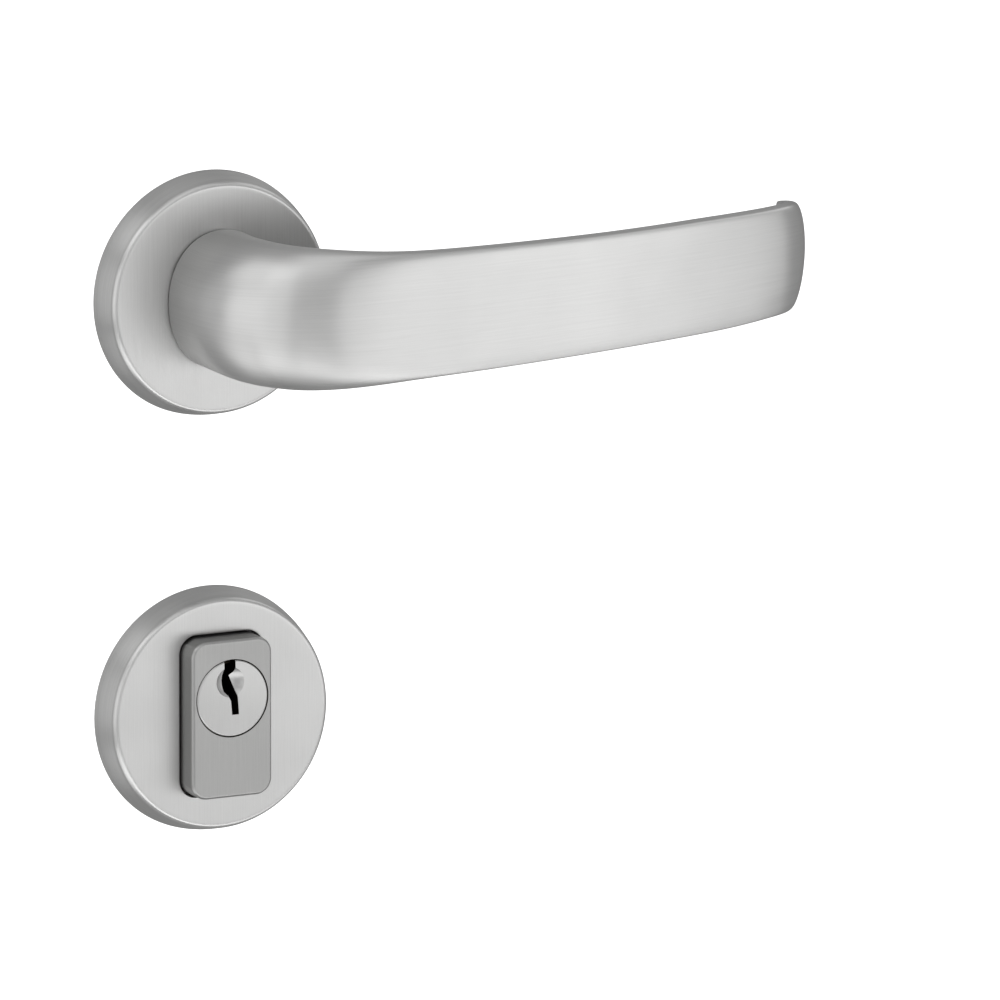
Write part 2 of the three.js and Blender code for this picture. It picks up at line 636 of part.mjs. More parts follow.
function escutcheonPlate() {
  const front = -ESCUTCHEON_PLATE_DEPTH - 1;
  let body = coverPlate(ESCUTCHEON_PLATE_DEPTH).subtract(ringGroove(ESCUTCHEON_GROOVE_Y));
  body = body.subtract(cylinderOpening(front, 1));
  for (const side of [-1, 1]) {
    body = body.subtract(screwHole(side * ESCUTCHEON_SCREW_X, ESCUTCHEON_SCREW_SEAT + 0.1, front, 1));
  }
  return body;
}

// ---- Assembly -----------------------------------------------------------------------------------
function addLeverModule() {
  piece('rose_cover', coverShell(ROSE_HOLE_RADIUS), SATIN);
  piece('rose_plate', rosePlate(), CAST);
  piece('rose_snap_ring', snapRing(ROSE_GROOVE_Y), SPRING);
  piece('spring_cover', springCover(), STEEL);
  springCoverScrewPlaces().forEach(([x, z], i) => {
    piece(`spring_cover_screw_${i + 1}`, springCoverScrew(), STEEL, x, 0, z);
  });
  piece('return_spring', returnSpring(), SPRING);
  piece('spring_driver', springDriver(), STEEL);
  piece('lever_circlip', circlip(), SPRING);
  piece('neck_bush', neckBush(), NYLON);
  piece('lever_handle', leverHandle(), SATIN);
  piece('lever_grub_screw', grubScrew(), SPRING, 0, GRUB_Y, 0);
  piece('spindle', spindle(), STEEL);
  piece('fixing_lug_top', fixingLug(), STEEL, 0, 0, FIXING_RADIUS);
  piece('fixing_lug_bottom', fixingLug(), STEEL, 0, 0, -FIXING_RADIUS);
  const screw = woodScrew(ROSE_SCREW_SEAT - SCREW_HEAD_DEPTH, ROSE_SCREW_SEAT, 11);
  piece('rose_screw_left', screw, STEEL, -ROSE_SCREW_X);
  piece('rose_screw_right', screw, STEEL, ROSE_SCREW_X);
}

function addCylinderModule() {
  piece('escutcheon_cover', escutcheonCover(), SATIN, 0, 0, ESCUTCHEON_Z);
  piece('escutcheon_plate', escutcheonPlate(), CAST, 0, 0, ESCUTCHEON_Z);
  piece('escutcheon_snap_ring', snapRing(ESCUTCHEON_GROOVE_Y), SPRING, 0, 0, ESCUTCHEON_Z);
  const screw = woodScrew(ESCUTCHEON_SCREW_SEAT - SCREW_HEAD_DEPTH, ESCUTCHEON_SCREW_SEAT, 13);
  piece('escutcheon_screw_left', screw, STEEL, -ESCUTCHEON_SCREW_X, 0, ESCUTCHEON_Z);
  piece('escutcheon_screw_right', screw, STEEL, ESCUTCHEON_SCREW_X, 0, ESCUTCHEON_Z);
  piece('cylinder_body', cylinderBody(), SATIN, 0, 0, PLUG_Z);
  piece('cylinder_plug', cylinderPlug(), SATIN, 0, 0, PLUG_Z);
  KEY_PIN_LENGTHS.forEach((length, i) => {
    piece(`key_pin_${i + 1}`, keyPin(length), BRASS, 0, pinY(i), PLUG_Z);
    piece(`driver_pin_${i + 1}`, driverPin(), BRASS, 0, pinY(i), PLUG_Z);
    piece(`pin_spring_${i + 1}`, pinSpring(), SPRING, 0, pinY(i), PLUG_Z);
  });
  piece('chamber_strip', chamberStrip(), BRASS, 0, 0, PLUG_Z);
  piece('cam', cam(), STEEL, 0, 0, PLUG_Z);
  CAM_SCREW_PLACES.forEach(([x, z], i) => {
    piece(`cam_screw_${i + 1}`, camScrew(), STEEL, x, 0, PLUG_Z + z);
  });
}

addLeverModule();
addCylinderModule();

export default object;
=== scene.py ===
"""Looks of the outside lock set: a sprung lever on a round rose and a pin cylinder in a round escutcheon.

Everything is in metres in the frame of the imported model: the origin is on the spindle axis at the door face,
+X runs along the lever, +Y goes into the door and +Z is up.
"""

import json
import math

import bmesh
import bpy
import numpy as np
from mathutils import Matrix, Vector


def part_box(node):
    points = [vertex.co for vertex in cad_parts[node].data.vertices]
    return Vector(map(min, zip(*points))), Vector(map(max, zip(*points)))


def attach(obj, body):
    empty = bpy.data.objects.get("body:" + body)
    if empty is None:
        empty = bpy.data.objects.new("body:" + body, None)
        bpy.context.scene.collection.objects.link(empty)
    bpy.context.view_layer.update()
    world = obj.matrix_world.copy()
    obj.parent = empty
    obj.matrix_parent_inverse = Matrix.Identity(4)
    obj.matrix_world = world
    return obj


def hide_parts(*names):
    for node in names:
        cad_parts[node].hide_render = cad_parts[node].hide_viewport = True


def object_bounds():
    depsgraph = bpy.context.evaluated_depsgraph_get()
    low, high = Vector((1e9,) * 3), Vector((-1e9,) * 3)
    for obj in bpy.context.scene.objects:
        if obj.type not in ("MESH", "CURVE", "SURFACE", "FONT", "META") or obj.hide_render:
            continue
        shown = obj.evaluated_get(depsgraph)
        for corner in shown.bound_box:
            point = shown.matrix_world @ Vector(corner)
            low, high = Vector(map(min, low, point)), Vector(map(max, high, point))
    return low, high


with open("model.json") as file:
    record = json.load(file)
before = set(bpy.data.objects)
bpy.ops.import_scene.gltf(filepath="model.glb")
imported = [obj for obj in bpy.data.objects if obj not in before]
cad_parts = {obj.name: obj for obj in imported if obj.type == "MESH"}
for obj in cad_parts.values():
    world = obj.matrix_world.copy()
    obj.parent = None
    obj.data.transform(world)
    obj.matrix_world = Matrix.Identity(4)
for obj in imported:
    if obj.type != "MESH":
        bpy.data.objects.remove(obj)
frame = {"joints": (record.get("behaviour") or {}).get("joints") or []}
CAD_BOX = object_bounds()
MM = 0.001
TURN = 2 * math.pi

FIXED, LEVER, PLUG = "door_furniture", "lever", "plug"
JOINTS = {joint["name"]: joint for joint in frame["joints"]}


# ---- Places and sizes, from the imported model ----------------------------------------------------
def centre_of(node):
    low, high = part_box(node)
    return (low + high) / 2


def size_of(node):
    low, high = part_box(node)
    return high - low


ROSE = centre_of("rose_cover")
ESCUTCHEON = centre_of("escutcheon_cover")
COVER_RADIUS = size_of("rose_cover").x / 2
COVER_DEPTH = size_of("rose_cover").y
PLUG_AXIS = Vector(JOINTS["plug_turn"]["pos_m"])
BODY_LOW, BODY_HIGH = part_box("cylinder_body")
PLUG_LOW, PLUG_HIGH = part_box("cylinder_plug")


# ---- Studio: camera, lights, floor --------------------------------------------------------------
VIEW_AZIMUTH = -26.0
VIEW_ELEVATION = 12.5
VIEW_CENTRE = Vector((0.0514, -0.0356, -0.0427))
VIEW_WIDTH = 0.2101
LENS = 1500
SENSOR = 36


def add_camera():
    azimuth = math.radians(VIEW_AZIMUTH)
    elevation = math.radians(VIEW_ELEVATION)
    back = Vector((math.sin(azimuth) * math.cos(elevation),
                   -math.cos(azimuth) * math.cos(elevation), math.sin(elevation)))
    data = bpy.data.cameras.new("camera")
    data.lens = LENS
    data.sensor_width = SENSOR
    data.clip_start = 0.5
    data.clip_end = 40
    camera = bpy.data.objects.new("camera", data)
    camera.location = VIEW_CENTRE + back * (VIEW_WIDTH * LENS / SENSOR)
    camera.rotation_mode = "QUATERNION"
    camera.rotation_quaternion = (-back).to_track_quat("-Z", "Y")
    bpy.context.scene.collection.objects.link(camera)
    bpy.context.scene.camera = camera


def softbox(name, azimuth, elevation, width, height, power, distance=1.2):
    """A rectangular light facing the object; azimuth 0 is in front of the door and 90 at the tip's side."""
    a, e = math.radians(azimuth), math.radians(elevation)
    away = Vector((math.sin(a) * math.cos(e), -math.cos(a) * math.cos(e), math.sin(e)))
    data = bpy.data.lights.new(name, "AREA")
    data.shape = "RECTANGLE"
    data.size = width
    data.size_y = height
    data.energy = power
    light = bpy.data.objects.new(name, data)
    light.location = VIEW_CENTRE + away * distance
    light.rotation_mode = "QUATERNION"
    light.rotation_quaternion = away.to_track_quat("Z", "Y")
    bpy.context.scene.collection.objects.link(light)


# Name, azimuth, elevation, width, height and power in watts.
SOFTBOXES = [
    ("back_left", -115, 0, 0.5, 0.86, 0.35),
    ("side_left", -80, 0, 0.84, 0.86, 2.1),
    ("key_left", -50, 0, 0.42, 0.86, 0.75),
    ("front_left", -20, 0, 0.84, 0.86, 0.42),
    ("front", 10, 0, 0.42, 0.86, 0.95),
    ("key_right", 40, 0, 0.84, 0.86, 2.8),
    ("high_back_left", -100, 42, 0.62, 0.6, 1.1),
    ("high_left", -60, 42, 0.62, 0.6, 1.4),
    ("high_front", -20, 42, 0.62, 0.6, 0.78),
    ("high_right", 60, 42, 0.62, 0.6, 0.42),
    ("high_back_right", 100, 42, 0.62, 0.6, 0.85),
    ("low_back_left", -100, -42, 0.62, 0.6, 1.15),
    ("low_left", -60, -42, 0.62, 0.6, 1.6),
    ("low_front_left", -20, -42, 0.62, 0.6, 1.85),
    ("low_front_right", 20, -42, 0.62, 0.6, 1.95),
    ("low_right", 60, -42, 0.62, 0.6, 1.0),
    ("top", 0, 80, 0.8, 0.8, 1.2),
]
AMBIENT = 0.42


def add_lights():
    for name, azimuth, elevation, width, height, power in SOFTBOXES:
        softbox(name, azimuth, elevation, width, height, power)
    world = bpy.data.worlds.new("studio")
    world.use_nodes = True
    tree = world.node_tree
    ambient = tree.nodes["Background"]
    ambient.inputs["Strength"].default_value = AMBIENT
    backdrop = tree.nodes.new("ShaderNodeBackground")
    seen = tree.nodes.new("ShaderNodeLightPath")
    mix = tree.nodes.new("ShaderNodeMixShader")
    tree.links.new(seen.outputs["Is Camera Ray"], mix.inputs["Fac"])
    tree.links.new(ambient.outputs[0], mix.inputs[1])
    tree.links.new(backdrop.outputs[0], mix.inputs[2])
    tree.links.new(mix.outputs[0], tree.nodes["World Output"].inputs["Surface"])
    for background in (ambient, backdrop):
        background.inputs["Color"].default_value = (1, 1, 1, 1)
    bpy.context.scene.world = world
    bpy.context.scene.view_settings.view_transform = "Standard"


def add_floor():
    size = 30
    drop = CAD_BOX[0].z - 0.12
    mesh = bpy.data.meshes.new("floor")
    corners = [(-size, -size, drop), (size, -size, drop), (size, size, drop), (-size, size, drop)]
    mesh.from_pydata(corners, [], [(0, 1, 2, 3)])
    floor = bpy.data.objects.new("floor", mesh)
    bpy.context.scene.collection.objects.link(floor)
    material = bpy.data.materials.new("pale_floor")
    material.use_nodes = True
    shader = material.node_tree.nodes["Principled BSDF"]
    shader.inputs["Base Color"].default_value = (0.9, 0.9, 0.9, 1)
    shader.inputs["Roughness"].default_value = 0.9
    shader.inputs["Emission Color"].default_value = (1, 1, 1, 1)
    shader.inputs["Emission Strength"].default_value = 1.0
    mesh.materials.append(material)
    floor.visible_glossy = False
    floor.visible_diffuse = False


# ---- Materials ----------------------------------------------------------------------------------
class Nodes:
    """Short hand for building one material's node tree."""

    def __init__(self, name):
        self.material = bpy.data.materials.new(name)
        self.material.use_nodes = True
        self.tree = self.material.node_tree
        self.shader = self.tree.nodes["Principled BSDF"]

    def add(self, kind, inputs=None, **settings):
        node = self.tree.nodes.new("ShaderNode" + kind)
        for key, value in settings.items():
            setattr(node, key, value)
        for key, value in (inputs or {}).items():
            if isinstance(value, bpy.types.NodeSocket):
                self.tree.links.new(value, node.inputs[key])
            else:
                node.inputs[key].default_value = value
        return node

    def link(self, source, target):
        self.tree.links.new(source, target)


def brushed(name, colour, roughness, anisotropy, grain, tone=0.05, edge=1.0):
    """Satin metal with a brushed grain along u of the UV map named grain, whose units are metres.

    grain is (scratch width, scratch length) in metres.
    """
    n = Nodes(name)
    uv = n.add("UVMap", uv_map="grain").outputs["UV"]
    width, length = grain
    fine = n.add("Mapping", {"Vector": uv, "Scale": (1 / length, 1 / width, 1)}).outputs["Vector"]
    wide = n.add("Mapping", {"Vector": uv, "Scale": (0.35 / length, 0.3 / width, 1)}).outputs["Vector"]
    scratches = n.add("TexNoise", {"Vector": fine, "Scale": 1.0, "Detail": 3.0, "Roughness": 0.6},
                      noise_dimensions="2D").outputs["Fac"]
    streaks = n.add("TexNoise", {"Vector": wide, "Scale": 1.0, "Detail": 2.0, "Roughness": 0.5},
                    noise_dimensions="2D").outputs["Fac"]
    place = n.add("TexCoord").outputs["Object"]
    smudges = n.add("TexNoise", {"Vector": place, "Scale": 60.0, "Detail": 3.0}).outputs["Fac"]
    both = n.add("Math", {0: scratches, 1: streaks}, operation="ADD").outputs[0]
    low = [channel * (1 - tone) for channel in colour]
    high = [min(1.0, channel * (1 + tone)) for channel in colour]
    shade = n.add("MapRange", {"Value": both, "From Min": 0.7, "From Max": 1.3}).outputs[0]
    base = n.add("Mix", {"Factor": shade}, data_type="RGBA")
    base.inputs[6].default_value = (*low, 1)
    base.inputs[7].default_value = (*high, 1)
    n.link(base.outputs[2], n.shader.inputs["Base Color"])
    rough = n.add("MapRange", {"Value": both, "From Min": 0.6, "From Max": 1.4,
                               "To Min": roughness - 0.04, "To Max": roughness + 0.04}).outputs[0]
    spread = n.add("MapRange", {"Value": smudges, "From Min": 0.3, "From Max": 0.7,
                                "To Min": -0.02, "To Max": 0.02}).outputs[0]
    total = n.add("Math", {0: rough, 1: spread}, operation="ADD").outputs[0]
    n.link(total, n.shader.inputs["Roughness"])
    bump = n.add("Bump", {"Height": both, "Strength": 0.12, "Distance": 0.02 * MM}).outputs["Normal"]
    n.link(bump, n.shader.inputs["Normal"])
    n.shader.inputs["Metallic"].default_value = 1.0
    n.shader.inputs["Anisotropic"].default_value = anisotropy
    n.shader.inputs["Anisotropic Rotation"].default_value = 0.25
    n.shader.inputs["Specular Tint"].default_value = (edge, edge, edge, 1)
    tangent = n.add("Tangent", direction_type="UV_MAP", uv_map="grain").outputs["Tangent"]
    n.link(tangent, n.shader.inputs["Tangent"])
    return n.material


def cast_metal(name, colour):
    """Die casting as it left the mould: dull, slightly pitted and mottled."""
    n = Nodes(name)
    place = n.add("TexCoord").outputs["Object"]
    pits = n.add("TexNoise", {"Vector": place, "Scale": 2600.0, "Detail": 4.0, "Roughness": 0.65}).outputs["Fac"]
    cloud = n.add("TexNoise", {"Vector": place, "Scale": 180.0, "Detail": 3.0}).outputs["Fac"]
    base = n.add("Mix", {"Factor": cloud}, data_type="RGBA")
    base.inputs[6].default_value = (*[channel * 0.82 for channel in colour], 1)
    base.inputs[7].default_value = (*[channel * 1.15 for channel in colour], 1)
    n.link(base.outputs[2], n.shader.inputs["Base Color"])
    rough = n.add("MapRange", {"Value": pits, "From Min": 0.3, "From Max": 0.7, "To Min": 0.46, "To Max": 0.62})
    n.link(rough.outputs[0], n.shader.inputs["Roughness"])
    bump = n.add("Bump", {"Height": pits, "Strength": 0.35, "Distance": 0.05 * MM}).outputs["Normal"]
    n.link(bump, n.shader.inputs["Normal"])
    n.shader.inputs["Metallic"].default_value = 1.0
    return n.material


def plastic(name, colour):
    """Moulded nylon: faintly cloudy, with a fine moulded grain."""
    n = Nodes(name)
    place = n.add("TexCoord").outputs["Object"]
    grain = n.add("TexNoise", {"Vector": place, "Scale": 3200.0, "Detail": 3.0}).outputs["Fac"]
    cloud = n.add("TexNoise", {"Vector": place, "Scale": 240.0, "Detail": 2.0}).outputs["Fac"]
    base = n.add("Mix", {"Factor": cloud}, data_type="RGBA")
    base.inputs[6].default_value = (*[channel * 0.93 for channel in colour], 1)
    base.inputs[7].default_value = (*[min(1.0, channel * 1.05) for channel in colour], 1)
    n.link(base.outputs[2], n.shader.inputs["Base Color"])
    rough = n.add("MapRange", {"Value": grain, "From Min": 0.3, "From Max": 0.7, "To Min": 0.42, "To Max": 0.55})
    n.link(rough.outputs[0], n.shader.inputs["Roughness"])
    bump = n.add("Bump", {"Height": grain, "Strength": 0.15, "Distance": 0.03 * MM}).outputs["Normal"]
    n.link(bump, n.shader.inputs["Normal"])
    n.shader.inputs["Subsurface Weight"].default_value = 0.15
    return n.material


SATIN = (0.60, 0.60, 0.595)
LEVER_METAL = brushed("lever_metal", SATIN, 0.39, 0.68, (0.07 * MM, 9 * MM), 0.035, 0.7)
COVER_METAL = brushed("cover_metal", SATIN, 0.39, 0.68, (0.09 * MM, 8 * MM), 0.04, 0.6)
BODY_METAL = brushed("body_metal", (0.40, 0.40, 0.395), 0.42, 0.5, (0.1 * MM, 6 * MM), 0.05, 0.5)
PLUG_METAL = brushed("plug_metal", (0.52, 0.52, 0.515), 0.4, 0.3, (0.09 * MM, 3 * MM), 0.03)
PLATED = brushed("plated_steel", (0.60, 0.61, 0.62), 0.28, 0.3, (0.08 * MM, 4 * MM), 0.06)
SPRING_STEEL = brushed("spring_steel", (0.30, 0.31, 0.33), 0.34, 0.3, (0.08 * MM, 8 * MM), 0.1)
BRASS = brushed("brass", (0.72, 0.52, 0.22), 0.26, 0.3, (0.08 * MM, 3 * MM), 0.06)
CAST = cast_metal("cast_zinc", (0.36, 0.365, 0.37))
# Near-black brass for the cut faces of the keyway, bore and pin holes: partly dark oiled brass, mostly painted shade
# in these recesses.
OILY_SHADE = cast_metal("oily_brass_and_painted_shade", (0.022, 0.018, 0.012))
NYLON = plastic("nylon", (0.80, 0.78, 0.72))


# ---- Mesh building ------------------------------------------------------------------------------
def make_object(name, vertices, faces, uvs, material):
    """One piece from vertices, faces and a UV for each face corner, with its faces turned outwards."""
    mesh = bpy.data.meshes.new(name)
    mesh.from_pydata([tuple(v) for v in vertices], [], [tuple(map(int, f)) for f in faces])
    layer = mesh.uv_layers.new(name="grain")
    layer.data.foreach_set("uv", np.asarray(uvs, float).ravel())
    work = bmesh.new()
    work.from_mesh(mesh)
    bmesh.ops.recalc_face_normals(work, faces=work.faces)
    work.to_mesh(mesh)
    work.free()
    mesh.materials.append(material)
    obj = bpy.data.objects.new(name, mesh)
    bpy.context.scene.collection.objects.link(obj)
    return obj


def skin(name, rings, material, uv, closed=False):
    """Joins rings of equal length into one skin. The ends are capped, or joined to each other if closed.
    uv(ring index, part of the way round, point) gives a point's place on the grain map."""
    rings = [np.asarray(ring, float) for ring in rings]
    count, total = len(rings[0]), len(rings)
    faces, uvs = [], []
    for i in range(total if closed else total - 1):
        following = (i + 1) % total
        for j in range(count):
            k = (j + 1) % count
            faces.append((i * count + j, following * count + j, following * count + k, i * count + k))
            uvs += [uv(i, j / count, rings[i][j]), uv(following, j / count, rings[following][j]),
                    uv(following, (j + 1) / count, rings[following][k]), uv(i, (j + 1) / count, rings[i][k])]
    if not closed:
        for i in (0, total - 1):
            faces.append(tuple(i * count + j for j in range(count)))
            uvs += [(point[2], point[0]) for point in rings[i]]
    return make_object(name, np.concatenate(rings), faces, uvs, material)


def fillet(points, radius, steps=4, closed=False):
    """Rounds the corners of an outline. radius is one value, or one for each point."""
    points = [np.asarray(p, float) for p in points]
    radii = radius if isinstance(radius, (list, tuple)) else [radius] * len(points)
    rounded = []
    for i, here in enumerate(points):
        end = not closed and i in (0, len(points) - 1)
        if end or radii[i] <= 0:
            rounded.append(here)
            continue
        to_before, to_after = points[i - 1] - here, points[(i + 1) % len(points)] - here
        before, after = np.linalg.norm(to_before), np.linalg.norm(to_after)
        reach = min(radii[i], 0.49 * before, 0.49 * after)
        start, finish = here + to_before / before * reach, here + to_after / after * reach
        for step in range(steps + 1):
            t = step / steps
            rounded.append((1 - t) ** 2 * start + 2 * t * (1 - t) * here + t * t * finish)
    return rounded


def circle_ring(radius, y, centre, angles):
    return [(centre.x + radius * math.cos(a), y, centre.z + radius * math.sin(a)) for a in angles]


def even_angles(count):
    return [TURN * i / count for i in range(count)]


def lathe(name, profile, centre, material, upright=False, closed=True, sides=96, wave=None):
    """Turns a profile of (radius, place) in millimetres about an axis through centre: along Y, or along Z
    if upright, where the place counts from centre. wave(place, angle) adds to the radius, for threads."""
    angles = even_angles(sides)
    rings, lengths = [], [0.0]
    for i, (radius, place) in enumerate(profile):
        ring = []
        for a in angles:
            reach = (radius + (wave(place, a, radius) if wave else 0)) * MM
            if upright:
                ring.append((centre.x + reach * math.cos(a), centre.y + reach * math.sin(a), centre.z + place * MM))
            else:
                ring.append((centre.x + reach * math.cos(a), place * MM, centre.z + reach * math.sin(a)))
        rings.append(ring)
        if i:
            lengths.append(lengths[-1] + math.dist(profile[i], profile[i - 1]) * MM)
    widest = max(radius for radius, place in profile) * MM
    return skin(name, rings, material, lambda i, turn, point: (turn * TURN * widest, lengths[i]), closed)


def slab(name, outline, low, high, material, bevel=0.15):
    """A flat piece from an outline in the XZ plane, in metres, between two places on Y in millimetres."""
    points = np.array(outline)
    before, after = np.roll(points, 1, axis=0), np.roll(points, -1, axis=0)
    along = after - before
    normals = np.stack([along[:, 1], -along[:, 0]], axis=1) / np.linalg.norm(along, axis=1)[:, None]
    area = np.sum(points[:, 0] * after[:, 1] - after[:, 0] * points[:, 1])
    normals *= math.copysign(1, area)
    inner = points - normals * bevel * MM
    rings = []
    for ring, y in ((inner, low), (points, low + bevel), (points, high - bevel), (inner, high)):
        rings.append([(x, y * MM, z) for x, z in ring])
    return skin(name, rings, material, lambda i, turn, point: (point[2], point[0]))


def prism(name, outline, low, high, material):
    """A sharp edged cutter from an outline in the XZ plane, in metres, between two places on Y in millimetres."""
    rings = [[(x, y * MM, z) for x, z in outline] for y in (low, high)]
    return skin(name, rings, material, lambda i, turn, point: (point[1], point[0] + point[2]))


def box(name, low, high, material):
    """A plain block between two corners in metres, used for cutting."""
    (x0, y0, z0), (x1, y1, z1) = low, high
    rings = [[(x0, y, z0), (x1, y, z0), (x1, y, z1), (x0, y, z1)] for y in (y0, y1)]
    return skin(name, rings, material, lambda i, turn, point: (point[1], point[0] + point[2]))


def sector_outline(centre, inner, outer, start, end, steps=24):
    """Outline in metres of a ring sector, from radii in millimetres and angles in degrees."""
    span = [math.radians(start + (end - start) * i / steps) for i in range(steps + 1)]
    arc = [(outer, a) for a in span] + [(inner, a) for a in reversed(span)]
    return [(centre.x + r * MM * math.cos(a), centre.z + r * MM * math.sin(a)) for r, a in arc]


def sweep(name, path, section, material):
    """Sweeps a closed section, in metres, along a path without twisting it about the path."""
    path = np.asarray(path, float)
    along = np.gradient(path, axis=0)
    along /= np.linalg.norm(along, axis=1)[:, None]
    lengths = np.concatenate([[0], np.cumsum(np.linalg.norm(np.diff(path, axis=0), axis=1))])
    side = np.cross(along[0], (0.3, 0.5, 0.8))
    rings = []
    for here, ahead in zip(path, along):
        side = side - ahead * side.dot(ahead)
        side /= np.linalg.norm(side)
        other = np.cross(ahead, side)
        rings.append([here + side * a + other * b for a, b in section])
    return skin(name, rings, material, lambda i, turn, point: (lengths[i], turn * 2 * MM))


def wire(name, path, radius, material, sides=12):
    section = [(radius * math.cos(a), radius * math.sin(a)) for a in even_angles(sides)]
    return sweep(name, path, section, material)


def combine(piece, others, operation):
    """Adds other solids to a piece, or cuts them out of it, and removes them."""
    for other in others:
        modifier = piece.modifiers.new("combine", "BOOLEAN")
        modifier.operation = operation
        modifier.solver = "MANIFOLD"
        modifier.material_mode = "TRANSFER"
        modifier.object = other
    graph = bpy.context.evaluated_depsgraph_get()
    mesh = bpy.data.meshes.new_from_object(piece.evaluated_get(graph))
    piece.modifiers.clear()
    piece.data = mesh
    work = bmesh.new()
    work.from_mesh(mesh)
    bmesh.ops.remove_doubles(work, verts=work.verts, dist=0.002 * MM)
    bmesh.ops.dissolve_degenerate(work, edges=work.edges, dist=0.001 * MM)
    work.to_mesh(mesh)
    work.free()
    for other in others:
        bpy.data.objects.remove(other)


def cut(piece, *others):
    combine(piece, others, "DIFFERENCE")


def add(piece, *others):
    combine(piece, others, "UNION")


def lay_grain(piece):
    """Lays the grain upright on every face that looks forwards or sideways, and fore and aft on the others."""
    mesh = piece.data
    layer = mesh.uv_layers["grain"].data
    for face in mesh.polygons:
        across, along, upward = (abs(part) for part in face.normal)
        for index in face.loop_indices:
            x, y, z = mesh.vertices[mesh.loops[index].vertex_index].co
            if upward > max(across, along):
                layer[index].uv = (y, x)
            else:
                layer[index].uv = (z, x if along > across else y)


def settle(piece, body, slot, *nodes, sharp=38):
    """Gives a finished piece its shading and body, and hides the nodes it stands for. slot is not used."""
    piece.data.set_sharp_from_angle(angle=math.radians(sharp))
    normals = piece.modifiers.new("normals", "WEIGHTED_NORMAL")
    normals.keep_sharp = True
    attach(piece, body)
    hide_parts(*nodes)


def drill(centre, radius, low, high, material, sides=48):
    """A cutting cylinder along Y; radius, low and high are in millimetres."""
    return lathe("drill", [(radius, low), (radius, high)], centre, material, closed=False, sides=sides)


# ---- Rounded rectangles -------------------------------------------------------------------------
def rectangle_radius(angle, left, right, bottom, top, corner):
    """How far a ray from the origin goes before it leaves a rounded rectangle around the origin."""
    dx, dz = math.cos(angle), math.sin(angle)
    across = (right if dx > 0 else left) / dx if abs(dx) > 1e-9 else 1e9
    upward = (top if dz > 0 else bottom) / dz if abs(dz) > 1e-9 else 1e9
    reach = min(across, upward)
    cx = right - corner if dx >= 0 else left + corner
    cz = top - corner if dz >= 0 else bottom + corner
    beyond_x = (dx * reach - cx) * math.copysign(1, dx) > 0
    beyond_z = (dz * reach - cz) * math.copysign(1, dz) > 0
    if not (beyond_x and beyond_z):
        return reach
    along = dx * cx + dz * cz
    off = cx * cx + cz * cz - corner * corner
    return along + math.sqrt(max(along * along - off, 0.0))


def rectangle_ring(y, centre, angles, sides, corner, margin=0.0):
    left, right, bottom, top = sides
    ring = []
    for a in angles:
        reach = rectangle_radius(a, left - margin, right + margin, bottom - margin, top + margin, corner + margin)
        ring.append((centre.x + reach * math.cos(a), y, centre.z + reach * math.sin(a)))
    return ring


def corner_angles(sides, corner, per_side=40, per_corner=14):
    """Angles, as seen from the origin, that follow a rounded rectangle evenly along sides and corners."""
    left, right, bottom, top = sides
    centres = [(right - corner, top - corner), (left + corner, top - corner),
               (left + corner, bottom + corner), (right - corner, bottom + corner)]
    outline = []
    for quarter, (cx, cz) in enumerate(centres):
        for i in range(per_corner + 1):
            a = (quarter + i / per_corner) * math.pi / 2
            outline.append((cx + corner * math.cos(a), cz + corner * math.sin(a)))
        nx, nz = centres[(quarter + 1) % 4]
        a = (quarter + 1) * math.pi / 2
        start, end = outline[-1], (nx + corner * math.cos(a), nz + corner * math.sin(a))
        for i in range(1, per_side):
            t = i / per_side
            outline.append((start[0] + (end[0] - start[0]) * t, start[1] + (end[1] - start[1]) * t))
    return sorted(math.atan2(z, x) % TURN for x, z in outline)


# ---- Covers -------------------------------------------------------------------------------------
COVER_WALL = 1.1 * MM
COVER_TAPER = 1.3 * MM
EDGE_DEPTH = 1.3 * MM
EDGE_REACH = 1.2 * MM
FACE_EDGE = COVER_RADIUS - COVER_TAPER - EDGE_REACH


def cover_outside():
    """Half section of a cover's outside as (radius, depth), from the back rim to the edge of the face."""
    rim = COVER_RADIUS - COVER_TAPER
    start = EDGE_DEPTH - COVER_DEPTH
    bevel = 0.1 * MM
    profile = [(COVER_RADIUS - bevel, 0), (COVER_RADIUS, -bevel)]
    for step in range(1, 8):
        part = step / 8
        profile.append((COVER_RADIUS - COVER_TAPER * part ** 1.4, start * part))
    for step in range(17):
        angle = step / 16 * math.pi / 2
        profile.append((rim - EDGE_REACH * (1 - math.cos(angle)), start - EDGE_DEPTH * math.sin(angle)))
    return profile


def cover_skin(name, centre, angles, opening):
    """A cover whose opening(y, margin) gives the ring of the opening's edge, margin wider all round."""
    rings = [circle_ring(radius, y, centre, angles) for radius, y in cover_outside()]
    side_rings = len(rings) - 8
    rings.append(circle_ring(FACE_EDGE - 0.5 * MM, -COVER_DEPTH, centre, angles))
    lip = 0.2 * MM
    rings.append(opening(-COVER_DEPTH, lip + 0.3 * MM))
    for step in range(5):
        t = step / 4 * math.pi / 2
        rings.append(opening(-COVER_DEPTH + lip * (1 - math.cos(t)), lip * (1 - math.sin(t))))
    rings.append(opening(-COVER_DEPTH + COVER_WALL, 0))
    floor = COVER_WALL - COVER_DEPTH
    rim = COVER_RADIUS - COVER_TAPER - COVER_WALL
    inside = [(rim - 2 * MM, floor), (rim - 1 * MM, floor), (rim, floor + 1 * MM), (COVER_RADIUS - COVER_WALL, 0)]
    for radius, y in fillet(inside, 0.6 * MM):
        rings.append(circle_ring(radius, y, centre, angles))

    def grain(i, turn, point):
        if side_rings <= i:
            return point[2], point[0]
        return turn * TURN * COVER_RADIUS, point[1]

    return skin(name, rings, COVER_METAL, grain, closed=True)


